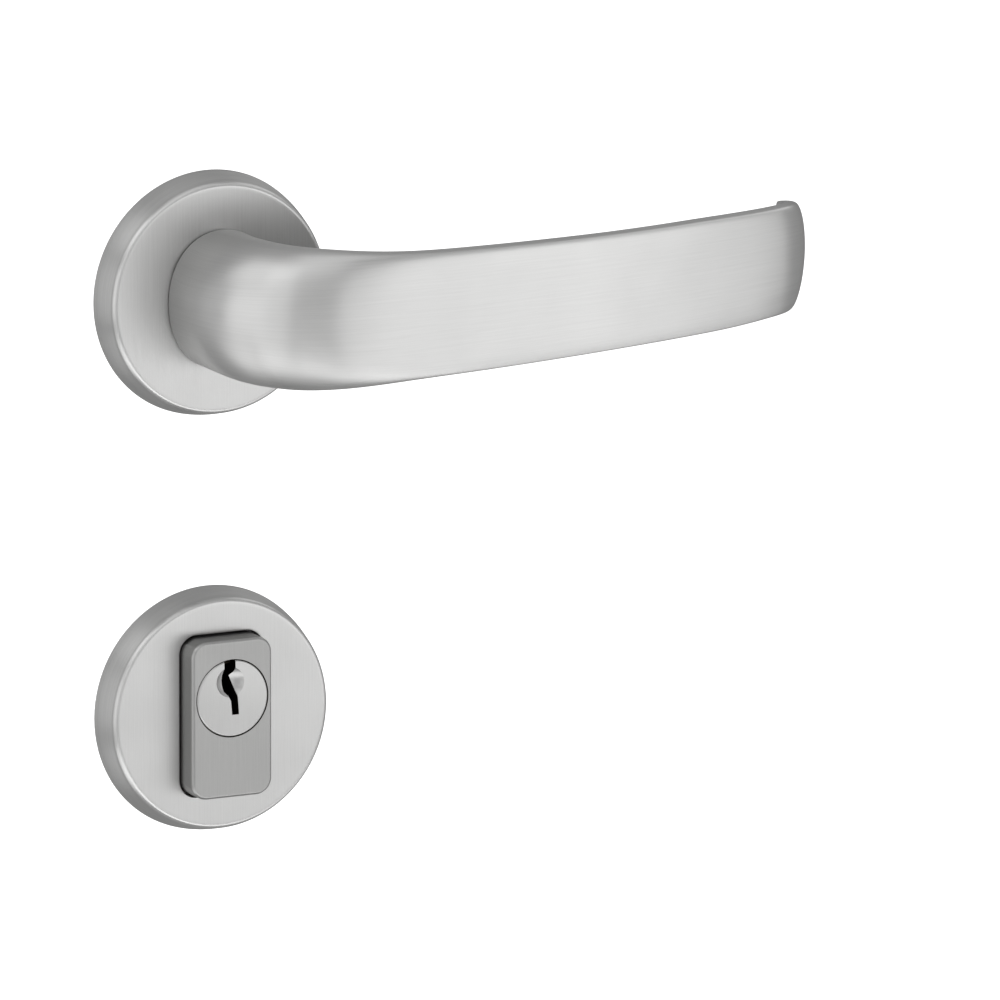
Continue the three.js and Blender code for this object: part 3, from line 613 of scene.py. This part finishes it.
def add_rose_cover():
    hole = size_of("neck_bush").x / 2 + 0.3 * MM
    cover = cover_skin("rose_cover_shell", ROSE, even_angles(256),
                       lambda y, margin: circle_ring(hole + margin, y, ROSE, even_angles(256)))
    settle(cover, FIXED, "satin_metal", "rose_cover")


OPENING_MARGIN = 0.45 * MM
BODY_CORNER = 3.5 * MM


def opening_sides():
    """Left, right, bottom and top of the cylinder's opening, from the centre of the escutcheon."""
    half = (BODY_HIGH.x - BODY_LOW.x) / 2 + OPENING_MARGIN
    return (-half, half, BODY_LOW.z - OPENING_MARGIN - ESCUTCHEON.z, BODY_HIGH.z + OPENING_MARGIN - ESCUTCHEON.z)


def add_escutcheon_cover():
    sides, corner = opening_sides(), BODY_CORNER + OPENING_MARGIN
    angles = corner_angles(sides, corner)
    cover = cover_skin("escutcheon_cover_shell", ESCUTCHEON, angles,
                       lambda y, margin: rectangle_ring(y, ESCUTCHEON, angles, sides, corner, margin))
    settle(cover, FIXED, "satin_metal", "escutcheon_cover")


# ---- Plates behind the covers -------------------------------------------------------------------
PLATE_BEVEL = 1.2
GROOVE_HALF = 0.75
GROOVE_DEPTH = 1.3
SCREW_HEAD = 3.3
SCREW_SHANK = 1.7
CLEARANCE = 0.3


def plate_outside(radius, depth, groove):
    inner = radius - GROOVE_DEPTH
    return [(radius, 0), (radius, groove + GROOVE_HALF), (inner, groove + GROOVE_HALF),
            (inner, groove - GROOVE_HALF), (radius, groove - GROOVE_HALF), (radius, PLATE_BEVEL - depth),
            (radius - PLATE_BEVEL, -depth)]


def groove_of(node):
    return centre_of(node).y / MM


def screw_drills(names, seat, front):
    """Cutting cylinders for the heads and shanks of wood screws."""
    drills = []
    for name in names:
        place = centre_of(name)
        drills.append(drill(place, SCREW_HEAD + CLEARANCE, front, seat, CAST))
        drills.append(drill(place, SCREW_SHANK + CLEARANCE, seat - 0.5, 1, CAST))
    return drills


def add_rose_plate():
    radius, depth = size_of("rose_plate").x / 2 / MM, size_of("rose_plate").y / MM
    pocket, floor, spindle_hole, front = 15.8, -2, 6.6, -depth - 1
    inside = [(pocket, -depth), (pocket, floor), (spindle_hole, floor), (spindle_hole, 0)]
    profile = fillet(plate_outside(radius, depth, groove_of("rose_snap_ring")) + inside, 0.25, 3, closed=True)
    body = lathe("rose_plate_casting", profile, ROSE, CAST, sides=128)
    for start in (138.0, 30.0):
        stop = slab("stop", sector_outline(ROSE, 11.2, pocket + 0.2, start, start + 24), -3.3, floor + 0.2, CAST)
        add(body, stop)
    drills = screw_drills(("rose_screw_left", "rose_screw_right"), -3, front)
    for name in ("fixing_lug_top", "fixing_lug_bottom"):
        drills.append(drill(centre_of(name), 2.3, front, 1, CAST))
    for name in ("spring_cover_screw_1", "spring_cover_screw_2"):
        drills.append(drill(centre_of(name), 1.2, front, -2, CAST))
    cut(body, *drills)
    settle(body, FIXED, "die_cast", "rose_plate")


def add_escutcheon_plate():
    radius, depth = size_of("escutcheon_plate").x / 2 / MM, size_of("escutcheon_plate").y / MM
    sides, corner = opening_sides(), BODY_CORNER + OPENING_MARGIN
    angles = corner_angles(sides, corner)
    outside = fillet(plate_outside(radius, depth, groove_of("escutcheon_snap_ring")), 0.25, 3)
    rings = [circle_ring(r * MM, y * MM, ESCUTCHEON, angles) for r, y in outside]
    rings += [rectangle_ring(y * MM, ESCUTCHEON, angles, sides, corner, margin * MM)
              for y, margin in ((-depth, 0.2), (-depth + 0.2, 0), (-0.2, 0), (0, 0.2))]
    body = skin("escutcheon_plate_casting", rings, CAST, lambda i, turn, point: (point[2], point[0] + point[1]),
                closed=True)
    cut(body, *screw_drills(("escutcheon_screw_left", "escutcheon_screw_right"), -1.6, -depth - 1))
    settle(body, FIXED, "die_cast", "escutcheon_plate")


def add_snap_ring(node, around):
    radius = (size_of(node).x / 2 - 0.42 * MM)
    y = centre_of(node).y
    half_gap = 15
    path = []
    for i in range(161):
        a = math.radians(90 + half_gap + (360 - 2 * half_gap) * i / 160)
        path.append((around.x + radius * math.cos(a), y, around.z + radius * math.sin(a)))
    ring = wire(node + "_wire", path, 0.42 * MM, SPRING_STEEL)
    settle(ring, FIXED, "spring_steel", node)


# ---- Screws and lugs ----------------------------------------------------------------------------
def thread(pitch, height, start, end):
    """Radius to add for a thread between two places; it fades in and out over one pitch."""
    def wave(place, angle, radius):
        inside = min(place - start, end - place) / pitch
        if inside <= 0:
            return 0.0
        turn = (place / pitch - angle / TURN) % 1.0
        return height * min(1.0, inside) * (abs(2 * turn - 1) * 1.6 - 0.8)
    return wave


def add_wood_screw(node):
    low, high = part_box(node)
    centre, head, tip = centre_of(node), low.y / MM, high.y / MM
    seat, shank = head + 1.7, 1.35
    profile = fillet([(0.02, head), (SCREW_HEAD - 1, head), (SCREW_HEAD, head + 0.8), (SCREW_HEAD, seat),
                      (shank, seat)], [0, 0.7, 0.5, 0.1, 0], 4)
    steps = 90
    for i in range(1, steps + 1):
        place = seat + (tip - seat) * i / steps
        narrowing = min(1.0, (tip - place) / 4)
        profile.append((max(0.03, shank * narrowing ** 0.7), place))
    turns = thread(1.3, 0.33, seat + 0.4, tip - 0.3)
    screw = lathe(node + "_steel", profile, centre, PLATED, closed=False, sides=40, wave=turns)
    slots = []
    for across, upward in ((2.0, 0.4), (0.4, 2.0)):
        low = (centre.x - across * MM, (head - 1) * MM, centre.z - upward * MM)
        slots.append(box("slot", low, (centre.x + across * MM, (head + 0.9) * MM, centre.z + upward * MM), PLATED))
    cut(screw, *slots)
    settle(screw, FIXED, "plated_steel", node)


def add_slotted_screw(node, body, shank, head, facing):
    """A small machine screw with a slotted head. facing is -1 if the head faces the viewer, or +1."""
    low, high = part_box(node)
    centre = centre_of(node)
    top, tip = (low.y / MM, high.y / MM) if facing < 0 else (high.y / MM, low.y / MM)
    seat = top - facing * (0.6 if facing < 0 else 1.3)
    profile = fillet([(0.02, top), (head - 0.4, top), (head, top - facing * 0.4), (head, seat), (shank, seat)],
                     [0, 0.3, 0.2, 0.05, 0], 4)
    steps = 60
    for i in range(1, steps + 1):
        place = seat + (tip - seat) * i / steps
        ahead = abs(tip - place)
        profile.append((shank * min(1.0, 0.6 + ahead), place))
    ends = sorted((seat, tip))
    turns = thread(0.5, 0.11, ends[0] + 0.2, ends[1] - 0.2)
    screw = lathe(node + "_steel", profile, centre, PLATED, closed=False, sides=32, wave=turns)
    depth = top - facing * (0.25 if facing < 0 else 0.5)
    y0, y1 = sorted((depth * MM, (top + facing) * MM))
    cut(screw, box("slot", (centre.x - 3 * MM, y0, centre.z - 0.25 * MM),
                   (centre.x + 3 * MM, y1, centre.z + 0.25 * MM), PLATED))
    settle(screw, body, "plated_steel", node)


def add_fixing_lug(node):
    low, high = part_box(node)
    front, back = low.y / MM, high.y / MM
    neck, radius, bore = 2.0, 3.0, 1.65
    profile = [(0.02, front), (neck, front), (neck, 0.3), (radius, 0.3), (radius, back), (bore, back)]
    profile = fillet(profile, [0, 0.3, 0.05, 0.25, 0.3, 0], 4)
    steps = 60
    depth = back - 1
    for i in range(1, steps + 1):
        profile.append((bore - 0.08, back - depth * i / steps))
    profile.append((0.02, back - depth - 0.4))
    bore_thread = thread(0.7, 0.14, 1.5, back - 0.1)

    def wave(place, angle, radius):
        return bore_thread(place, angle, radius) if radius < bore and place > 1 else 0.0

    lug = lathe(node + "_steel", profile, centre_of(node), PLATED, closed=False, sides=48, wave=wave)
    settle(lug, FIXED, "plated_steel", node)


# ---- Spring module in the rose ------------------------------------------------------------------
def add_spring_cover():
    low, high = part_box("spring_cover")
    front, back, outer, inner = low.y / MM, high.y / MM, size_of("spring_cover").x / 2 / MM, 10.2
    profile = fillet([(inner, front), (outer, front), (outer, back), (inner, back)], 0.12, 3, closed=True)
    ring = lathe("spring_cover_washer", profile, ROSE, PLATED, sides=128)
    cut(ring, *[drill(centre_of(name), 2.3, -7, -5.3, PLATED)
                for name in ("spring_cover_screw_1", "spring_cover_screw_2")])
    settle(ring, FIXED, "plated_steel", "spring_cover")


SPRING_START = 200
SPRING_TURNS = 1.75


def add_return_spring():
    low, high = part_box("return_spring")
    middle, height = (low.y + high.y) / 2, (high.y - low.y) / 2
    inner, outer, half, steps = 11.8 * MM, 14.9 * MM, 0.35 * MM, 260
    rings = []
    for i in range(steps + 1):
        part = i / steps
        a = math.radians(SPRING_START + 360 * SPRING_TURNS * part)
        radius = inner + (outer - inner) * part
        corners = fillet([(-half, -height), (half, -height), (half, height), (-half, height)], 0.12 * MM, 2,
                         closed=True)
        rings.append([((radius + across) * math.cos(a), middle + up, (radius + across) * math.sin(a))
                      for across, up in corners])
    spring = skin("return_spring_strip", rings, SPRING_STEEL,
                  lambda i, turn, point: (i / steps * TURN * SPRING_TURNS * outer, turn * 4 * MM))
    settle(spring, FIXED, "spring_steel", "return_spring")


def add_spring_driver():
    front, back, hole = -3.2, -2.3, size_of("spindle").x / 2 + CLEARANCE * MM
    lug_middle, lug_half = 112.5, 12
    outline = []
    for i in range(180):
        degrees = i * 2
        inside = abs(degrees - lug_middle) <= lug_half
        radius = (14.6 if inside else 10.6) * MM
        outline.append((radius * math.cos(math.radians(degrees)), radius * math.sin(math.radians(degrees))))
    driver = slab("spring_driver_disc", outline, front, back, PLATED, 0.1)
    tab = slab("tab", sector_outline(ROSE, 10.1, 11.1, SPRING_START - 9, SPRING_START + 4, 8), -5, back, PLATED, 0.1)
    add(driver, tab)
    cut(driver, box("square", (-hole, -7 * MM, -hole), (hole, 1 * MM, hole), PLATED))
    settle(driver, LEVER, "plated_steel", "spring_driver")


def add_circlip():
    low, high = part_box("lever_circlip")
    outline = sector_outline(ROSE, 7.9, 10, 20, 340, 120)
    clip = slab("lever_circlip_steel", outline, low.y / MM, high.y / MM, SPRING_STEEL, 0.12)
    settle(clip, LEVER, "spring_steel", "lever_circlip")


def add_neck_bush():
    low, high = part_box("neck_bush")
    outer, inner = size_of("neck_bush").x / 2 / MM, 9.1
    profile = [(inner, low.y / MM), (outer, low.y / MM), (outer, high.y / MM), (inner, high.y / MM)]
    bush = lathe("neck_bush_ring", fillet(profile, 0.15, 3, closed=True), ROSE, NYLON, sides=128)
    settle(bush, FIXED, "nylon", "neck_bush")


def add_spindle():
    low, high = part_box("spindle")
    half, bevel, edge = size_of("spindle").x / 2, 0.8 * MM, 0.35 * MM
    sides = (-half, half, -half, half)
    angles = corner_angles(sides, edge, 12, 6)
    rings = [rectangle_ring(y, ROSE, angles, sides, edge, margin)
             for y, margin in ((low.y, -bevel), (low.y + bevel, 0), (high.y - bevel, 0), (high.y, -bevel))]
    bar = skin("spindle_bar", rings, PLATED, lambda i, turn, point: (point[1], turn * 8 * half))
    settle(bar, LEVER, "plated_steel", "spindle")


def add_grub_screw():
    low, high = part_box("lever_grub_screw")
    centre = centre_of("lever_grub_screw")
    half = (high.z - low.z) / 2 / MM
    radius, steps = 2.45, 80
    profile = [(0.02, -half), (radius - 0.4, -half)]
    profile += [(radius, -half + 0.4 + (2 * half - 0.8) * i / steps) for i in range(steps + 1)]
    profile += [(radius - 0.5, half), (0.02, half)]
    screw = lathe("lever_grub_screw_steel", profile, centre, SPRING_STEEL, upright=True, closed=False, sides=40,
                  wave=thread(0.8, 0.15, -half + 0.4, half - 0.4))
    cut(screw, lathe("key", [(1.5, -half - 1), (1.5, -half + 3)], centre, SPRING_STEEL, upright=True,
                     closed=False, sides=6))
    settle(screw, LEVER, "spring_steel", "lever_grub_screw")


# ---- Lever --------------------------------------------------------------------------------------
# Stations in millimetres: place in plan (x, y), half thickness, half height, squareness of the section.
# The neck leaves the rose as an oval, turns through a right angle and flattens into a blade that bows
# back to the door and ends in a short return.
LEVER_STATIONS = [
    (0, -7.7, 12.45, 14.9, 2.1),
    (0, -14, 12.55, 15.05, 2),
    (0.6, -20.5, 11.9, 15.3, 2),
    (2.6, -27, 10.4, 15.3, 2.1),
    (6.6, -32.8, 8.2, 15.2, 2.3),
    (13, -37, 5.9, 14.8, 2.7),
    (20, -39.18, 4.1, 14.25, 3.5),
    (29, -40.1, 2.9, 13.65, 5),
    (42, -39.9, 2.5, 13.2, 7),
    (64, -38, 2.4, 12.7, 8),
    (87, -34.4, 2.4, 12.3, 8),
    (108, -29.6, 2.4, 12, 8),
    (120, -26.5, 2.3, 11.65, 7),
    (125.6, -24, 2.2, 11.45, 5.5),
    (128.05, -20.3, 2, 10.9, 4.5),
    (128.7, -16.5, 1.85, 10.25, 3.6),
    (128.75, -14.4, 1.75, 9.8, 3.2),
]
END_CROWN = 1.5 * MM
END_RISE = 0.6 * MM
RISE_START = 0.8
END_SLANT = 0.7 * MM
CROWN_START = 0.7
SLANT_START = 0.86
END_ROUND = 0.9 * MM
QUARTER_POINTS = 26


def natural_spline(knots, values, at):
    """Natural cubic spline through rows of values at knots."""
    knots, values = np.asarray(knots, float), np.asarray(values, float)
    n = len(knots)
    gaps = np.diff(knots)
    matrix = np.zeros((n, n))
    right = np.zeros((n, values.shape[1]))
    matrix[0, 0] = matrix[-1, -1] = 1
    for i in range(1, n - 1):
        matrix[i, i - 1:i + 2] = gaps[i - 1], 2 * (gaps[i - 1] + gaps[i]), gaps[i]
        right[i] = 3 * ((values[i + 1] - values[i]) / gaps[i] - (values[i] - values[i - 1]) / gaps[i - 1])
    bend = np.linalg.solve(matrix, right)
    out = []
    for t in at:
        i = int(np.clip(np.searchsorted(knots, t) - 1, 0, n - 2))
        s, h = t - knots[i], gaps[i]
        slope = (values[i + 1] - values[i]) / h - h * (2 * bend[i] + bend[i + 1]) / 3
        out.append(values[i] + slope * s + bend[i] * s ** 2 + (bend[i + 1] - bend[i]) / (3 * h) * s ** 3)
    return np.array(out)


def section_quarter(half_thickness, half_height, power):
    """Points from the front of the section to its top, shared between its length and its turning."""
    t = np.linspace(0, math.pi / 2, 400)
    across = half_thickness * np.cos(t) ** (2 / power)
    up = half_height * np.sin(t) ** (2 / power)
    step = np.hypot(np.diff(across), np.diff(up))
    heading = np.unwrap(np.arctan2(np.diff(up), np.diff(across)))
    turning = np.abs(np.diff(heading, prepend=heading[0]))
    share = np.concatenate([[0], np.cumsum(step / step.sum() + 1.2 * turning / turning.sum())])
    wanted = np.linspace(0, share[-1], QUARTER_POINTS + 1)
    return list(zip(np.interp(wanted, share, across), np.interp(wanted, share, up)))


def section(half_thickness, half_height, power):
    quarter = section_quarter(half_thickness, half_height, power)[:-1]
    top = (0.0, half_height)
    upper = quarter + [top] + [(-a, u) for a, u in reversed(quarter)]
    lower = [(-a, -u) for a, u in quarter[1:]] + [(0.0, -half_height)] + [(a, -u) for a, u in reversed(quarter[1:])]
    return upper + lower


def ease(part, start):
    rise = np.clip((part - start) / (1 - start), 0, 1)
    return rise * rise * (3 - 2 * rise)


def lever_ring(centre, ahead, shape, part):
    crown, slant = END_CROWN * ease(part, CROWN_START), END_SLANT * ease(part, SLANT_START)
    rise = END_RISE * ease(part, RISE_START)
    ring = []
    for across, up in section(*shape):
        high = up / shape[1]
        x = centre[0] + across * ahead[1] - crown * high ** 2 + slant * (high - 0.5 * high ** 2)
        ring.append((x, centre[1] - across * ahead[0], up + rise))
    return ring


def lever_body(count=260):
    """Rings and running lengths of the lever from the back of its neck to its end."""
    stations = np.array(LEVER_STATIONS) * np.array([MM, MM, MM, MM, 1])
    gaps = np.hypot(*np.diff(stations[:, :2], axis=0).T)
    knots = np.concatenate([[0], np.cumsum(gaps ** 0.7)])
    at = np.linspace(0, knots[-1], count)
    values = natural_spline(knots, stations, at)
    spine = values[:, :2]
    heading = np.gradient(spine, at, axis=0)
    heading /= np.linalg.norm(heading, axis=1)[:, None]
    heading[0] = (0, -1)
    lengths = list(np.concatenate([[0], np.cumsum(np.linalg.norm(np.diff(spine, axis=0), axis=1))]))
    total = lengths[-1]
    rings = [lever_ring(spine[i], heading[i], values[i, 2:], lengths[i] / total) for i in range(count)]
    tip, ahead, shape = spine[-1], heading[-1], values[-1, 2:]
    for step in range(1, 7):
        t = step / 6 * math.pi / 2
        inset = END_ROUND * (1 - math.cos(t))
        smaller = (shape[0] - inset, shape[1] - inset, shape[2])
        rings.append(lever_ring(tip + ahead * END_ROUND * math.sin(t), ahead, smaller, 1.0))
        lengths.append(total + END_ROUND * step / 6)
    return rings, lengths


def hub_rings():
    """The round end that turns in the rose, from the bottom of its square socket outwards and forwards."""
    hub, groove, socket, square = 8.8, 7.6, size_of("spindle").x / 2 / MM + CLEARANCE, 24
    back, front = -3.5, LEVER_STATIONS[0][1]
    rows = [(socket, square, -28.6), (socket, square, back - 0.3), (socket + 0.3, square, back),
            (hub - 0.3, 2, back), (hub, 2, back - 0.3), (hub, 2, -4.1), (groove, 2, -4.1), (groove, 2, -5.4),
            (hub, 2, -5.4), (hub, 2, front)]
    return [[(-across * MM, y * MM, up * MM) for across, up in section(radius, radius, power)]
            for radius, power, y in rows]


def neck_edge(ring):
    """The neck's back face meets its side in a small round."""
    inset, y = 0.25 * MM, LEVER_STATIONS[0][1] * MM
    inner = [(x * (1 - inset / 0.0125), y, z * (1 - inset / 0.015)) for x, _, z in ring]
    outer = [(x, y - inset, z) for x, _, z in ring]
    return [inner, outer]


def add_lever():
    rings, lengths = lever_body()
    hub = hub_rings()
    start = len(hub) + 2
    skip = next(i for i, length in enumerate(lengths) if length > 0.4 * MM)
    rings = hub + neck_edge(rings[0]) + rings[skip:]
    lengths = lengths[skip:]

    def grain(i, turn, point):
        if i < start:
            return turn * TURN * 9 * MM, point[1]
        return lengths[i - start], turn * 55 * MM

    lever = skin("lever_grip", rings, LEVER_METAL, grain)
    grub = centre_of("lever_grub_screw")
    cut(lever, lathe("grub_hole", [(2.9, -14), (2.9, 5)], grub, LEVER_METAL, upright=True, closed=False, sides=48))
    settle(lever, LEVER, "satin_metal", "lever_handle")


# ---- Cylinder -----------------------------------------------------------------------------------
PIN_NAMES = [str(i) for i in range(1, 6)]
NOSE_EDGE = 0.75 * MM
BORE = 7.1
FLANGE_GAP = 0.06


def add_cylinder_body():
    left, right = BODY_LOW.x, BODY_HIGH.x
    bottom, top = BODY_LOW.z - ESCUTCHEON.z, BODY_HIGH.z - ESCUTCHEON.z
    sides = (left, right, bottom, top)
    rear_gap = 0.1 * MM
    rear = (left + rear_gap, right - rear_gap, bottom + rear_gap, top - rear_gap)
    rear_corner = (right - left) / 2 - 0.12 * MM
    angles = corner_angles(sides, BODY_CORNER)
    front, back, nose_back = BODY_LOW.y, BODY_HIGH.y, -0.8 * MM
    rings = []
    for step in range(9):
        t = step / 8 * math.pi / 2
        rings.append(rectangle_ring(front + NOSE_EDGE * (1 - math.cos(t)), ESCUTCHEON, angles, sides, BODY_CORNER,
                                    -NOSE_EDGE * (1 - math.sin(t))))
    rings.append(rectangle_ring(nose_back, ESCUTCHEON, angles, sides, BODY_CORNER))
    for y, margin in ((nose_back, 0), (back - 0.5 * MM, 0), (back, -0.5 * MM)):
        rings.append(rectangle_ring(y, ESCUTCHEON, angles, rear, rear_corner, margin))
    body = skin("cylinder_housing", rings, BODY_METAL, lambda i, turn, point: (point[2], point[0] + point[1]))
    flange = size_of("cylinder_plug").x / 2 / MM + FLANGE_GAP
    seat, bevel, low = PLUG_FLANGE_BACK + CLEARANCE, 0.1, front / MM
    # The bore's cut faces take the near-black brass: painted shade inside the bore.
    bore = lathe("bore", [(flange + bevel + 1, low - 1), (flange + bevel, low), (flange, low + bevel), (flange, seat),
                          (BORE, seat), (BORE, back / MM + 1)], PLUG_AXIS, OILY_SHADE, closed=False, sides=128)
    cutters = [bore]
    for name in PIN_NAMES:
        place = centre_of("driver_pin_" + name)
        low_end = (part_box("pin_spring_" + name)[0].z - place.z) / MM - CLEARANCE - 0.4
        cutters.append(lathe("chamber", [(1.6, low_end), (1.6, (PLUG_AXIS.z - place.z) / MM - 4)], place, BODY_METAL,
                             upright=True, closed=False, sides=32))
    strip_low, strip_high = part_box("chamber_strip")
    gap = Vector((CLEARANCE, CLEARANCE, 0)) * MM
    cutters.append(box("slot", strip_low - gap - Vector((0, 0, 5 * MM)), strip_high + gap, BODY_METAL))
    for x in (-5.2, 5.2):
        place = PLUG_AXIS + Vector((x * MM, 0, -13.5 * MM))
        cutters.append(drill(place, 1.65, back / MM - 8, back / MM + 1, BODY_METAL))
    cut(body, *cutters)
    lay_grain(body)
    settle(body, FIXED, "satin_metal", "cylinder_body")


PLUG_FLANGE_BACK = -10.8
KEYWAY = [
    (-1.9, 10), (-1.9, 6.7), (-2.17, 5.2), (-2.25, 4.1), (-2.17, 2.9), (-1.9, 1.5), (-1.1, 0.7), (-0.5, -0.5),
    (-0.2, -3.5), (1.4, -3.5), (1.1, 0.2), (0.5, 2.4), (0.1, 3.5), (-0.5, 4.9), (0.5, 5.7), (0.7, 6.7), (0.7, 10),
]
DIMPLE_RADIUS = 5
DIMPLE_BACK = 4


def add_cylinder_plug():
    face, back = PLUG_HIGH.y / MM, PLUG_HIGH.y / MM
    face = BODY_LOW.y / MM - 0.1
    flange, barrel, chamfer = size_of("cylinder_plug").x / 2 / MM, 6.8, 0.25
    profile = [(0.02, face - 0.3), (1.5, face - 0.29), (3, face - 0.25), (4.5, face - 0.19), (6, face - 0.12),
               (flange - chamfer, face), (flange, face + chamfer), (flange, PLUG_FLANGE_BACK),
               (barrel, PLUG_FLANGE_BACK), (barrel, back - 0.4), (barrel - 0.4, back), (0.02, back)]
    profile = fillet(profile, [0, 0, 0, 0, 0, 0.15, 0.15, 0.1, 0.1, 0.1, 0.1, 0], 5)
    plug = lathe("cylinder_plug_core", profile, PLUG_AXIS, PLUG_METAL, closed=False, sides=128)
    outline = [(PLUG_AXIS.x + x * MM, PLUG_AXIS.z + z * MM) for x, z in KEYWAY]
    # The keyway's cut faces take the near-black brass: painted shade inside the slot.
    keyway = prism("keyway", outline, face - 3, back + 2, OILY_SHADE)
    dimple_place = PLUG_AXIS + Vector((-0.6 * MM, 0, 3.7 * MM))
    scoop = []
    for step in range(13):
        a = step / 12 * 1.25
        scoop.append((max(0.02, DIMPLE_RADIUS * math.sin(a)), face - DIMPLE_BACK + DIMPLE_RADIUS * math.cos(a)))
    dimple = lathe("dimple", scoop, dimple_place, PLUG_METAL, closed=False, sides=64)
    cutters = [dimple, keyway]
    for name in PIN_NAMES:
        place = centre_of("key_pin_" + name)
        below = (PLUG_AXIS.z - place.z) / MM
        # The pin holes' cut faces take the near-black brass: painted shade inside the holes.
        cutters.append(lathe("hole", [(1.6, below - 9), (1.6, below - 0.4)], place, OILY_SHADE, upright=True,
                             closed=False, sides=32))
    for name in ("cam_screw_1", "cam_screw_2"):
        cutters.append(drill(centre_of(name), 1.3, back - 6, back + 2, PLUG_METAL))
    cut(plug, *cutters)
    lay_grain(plug)
    settle(plug, PLUG, "satin_metal", "cylinder_plug", sharp=25)


def add_key_pin(name):
    node = "key_pin_" + name
    half = size_of(node).z / 2 / MM
    profile = [(0.02, -half), (1.1, -half + 0.02), (1.3, -half + 0.25), (1.3, half - 0.9), (0.5, half), (0.02, half)]
    pin = lathe(node + "_brass", fillet(profile, [0, 0.2, 0.15, 0.2, 0.2, 0], 4), centre_of(node), BRASS,
                upright=True, closed=False, sides=40)
    settle(pin, node, "brass", node)


def add_driver_pin(name):
    node = "driver_pin_" + name
    half = size_of(node).z / 2 / MM
    profile = [(0.02, -half), (1.3, -half), (1.3, half - 3.2), (0.95, half - 3.2), (0.95, half - 1.2),
               (1.3, half - 1.2), (1.3, half), (0.02, half)]
    pin = lathe(node + "_brass", fillet(profile, [0, 0.2, 0.1, 0.08, 0.08, 0.1, 0.2, 0], 4), centre_of(node), BRASS,
                upright=True, closed=False, sides=40)
    settle(pin, node, "brass", node)


def add_pin_spring(name):
    node = "pin_spring_" + name
    low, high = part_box(node)
    centre, wire_radius, turns = centre_of(node), 0.2 * MM, 5
    radius = 1.06 * MM
    path = []
    for i in range(turns * 28 + 1):
        part = i / (turns * 28)
        a = TURN * turns * part
        z = low.z + wire_radius + (high.z - low.z - 2 * wire_radius) * part
        path.append((centre.x + radius * math.cos(a), centre.y + radius * math.sin(a), z))
    spring = wire(node + "_wire", path, wire_radius, SPRING_STEEL, 8)
    settle(spring, FIXED, "spring_steel", node)


def add_chamber_strip():
    low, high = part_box("chamber_strip")
    edge = 0.15
    outline = fillet([(low.x, low.z), (high.x, low.z), (high.x, high.z), (low.x, high.z)], edge * MM, 3, closed=True)
    strip = slab("chamber_strip_brass", outline, low.y / MM, high.y / MM, BRASS, edge)
    settle(strip, FIXED, "brass", "chamber_strip")


def add_cam():
    low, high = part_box("cam")
    disc, lobe, lobe_z = 8.4, 4.2, -11.5
    meet = math.asin(lobe / disc)
    outline = []
    for i in range(121):
        a = -math.pi / 2 + meet + (TURN - 2 * meet) * i / 120
        outline.append((disc * math.cos(a), disc * math.sin(a)))
    for i in range(33):
        a = math.pi + math.pi * i / 32
        outline.append((lobe * math.cos(a), lobe_z + lobe * math.sin(a)))
    outline = [(PLUG_AXIS.x + x * MM, PLUG_AXIS.z + z * MM) for x, z in outline]
    cam = slab("cam_plate", outline, low.y / MM, high.y / MM, PLATED, 0.25)
    cut(cam, *[drill(centre_of(name), 1.3, low.y / MM - 1, high.y / MM + 1, PLATED)
               for name in ("cam_screw_1", "cam_screw_2")])
    settle(cam, PLUG, "plated_steel", "cam")


def add_rose_parts():
    add_rose_cover()
    add_rose_plate()
    add_snap_ring("rose_snap_ring", ROSE)
    add_spring_cover()
    for node in ("spring_cover_screw_1", "spring_cover_screw_2"):
        add_slotted_screw(node, FIXED, 0.9, 2.0, -1)
    add_return_spring()
    add_neck_bush()
    for node in ("fixing_lug_top", "fixing_lug_bottom"):
        add_fixing_lug(node)
    for node in ("rose_screw_left", "rose_screw_right"):
        add_wood_screw(node)


def add_lever_parts():
    add_lever()
    add_grub_screw()
    add_spring_driver()
    add_circlip()
    add_spindle()


def add_escutcheon_parts():
    add_escutcheon_cover()
    add_escutcheon_plate()
    add_snap_ring("escutcheon_snap_ring", ESCUTCHEON)
    for node in ("escutcheon_screw_left", "escutcheon_screw_right"):
        add_wood_screw(node)


def add_cylinder_parts():
    add_cylinder_body()
    add_cylinder_plug()
    for name in PIN_NAMES:
        add_key_pin(name)
        add_driver_pin(name)
        add_pin_spring(name)
    add_chamber_strip()
    add_cam()
    for node in ("cam_screw_1", "cam_screw_2"):
        add_slotted_screw(node, PLUG, 1.0, 2.0, 1)


add_camera()
add_lights()
add_floor()
add_rose_parts()
add_lever_parts()
add_escutcheon_parts()
add_cylinder_parts()
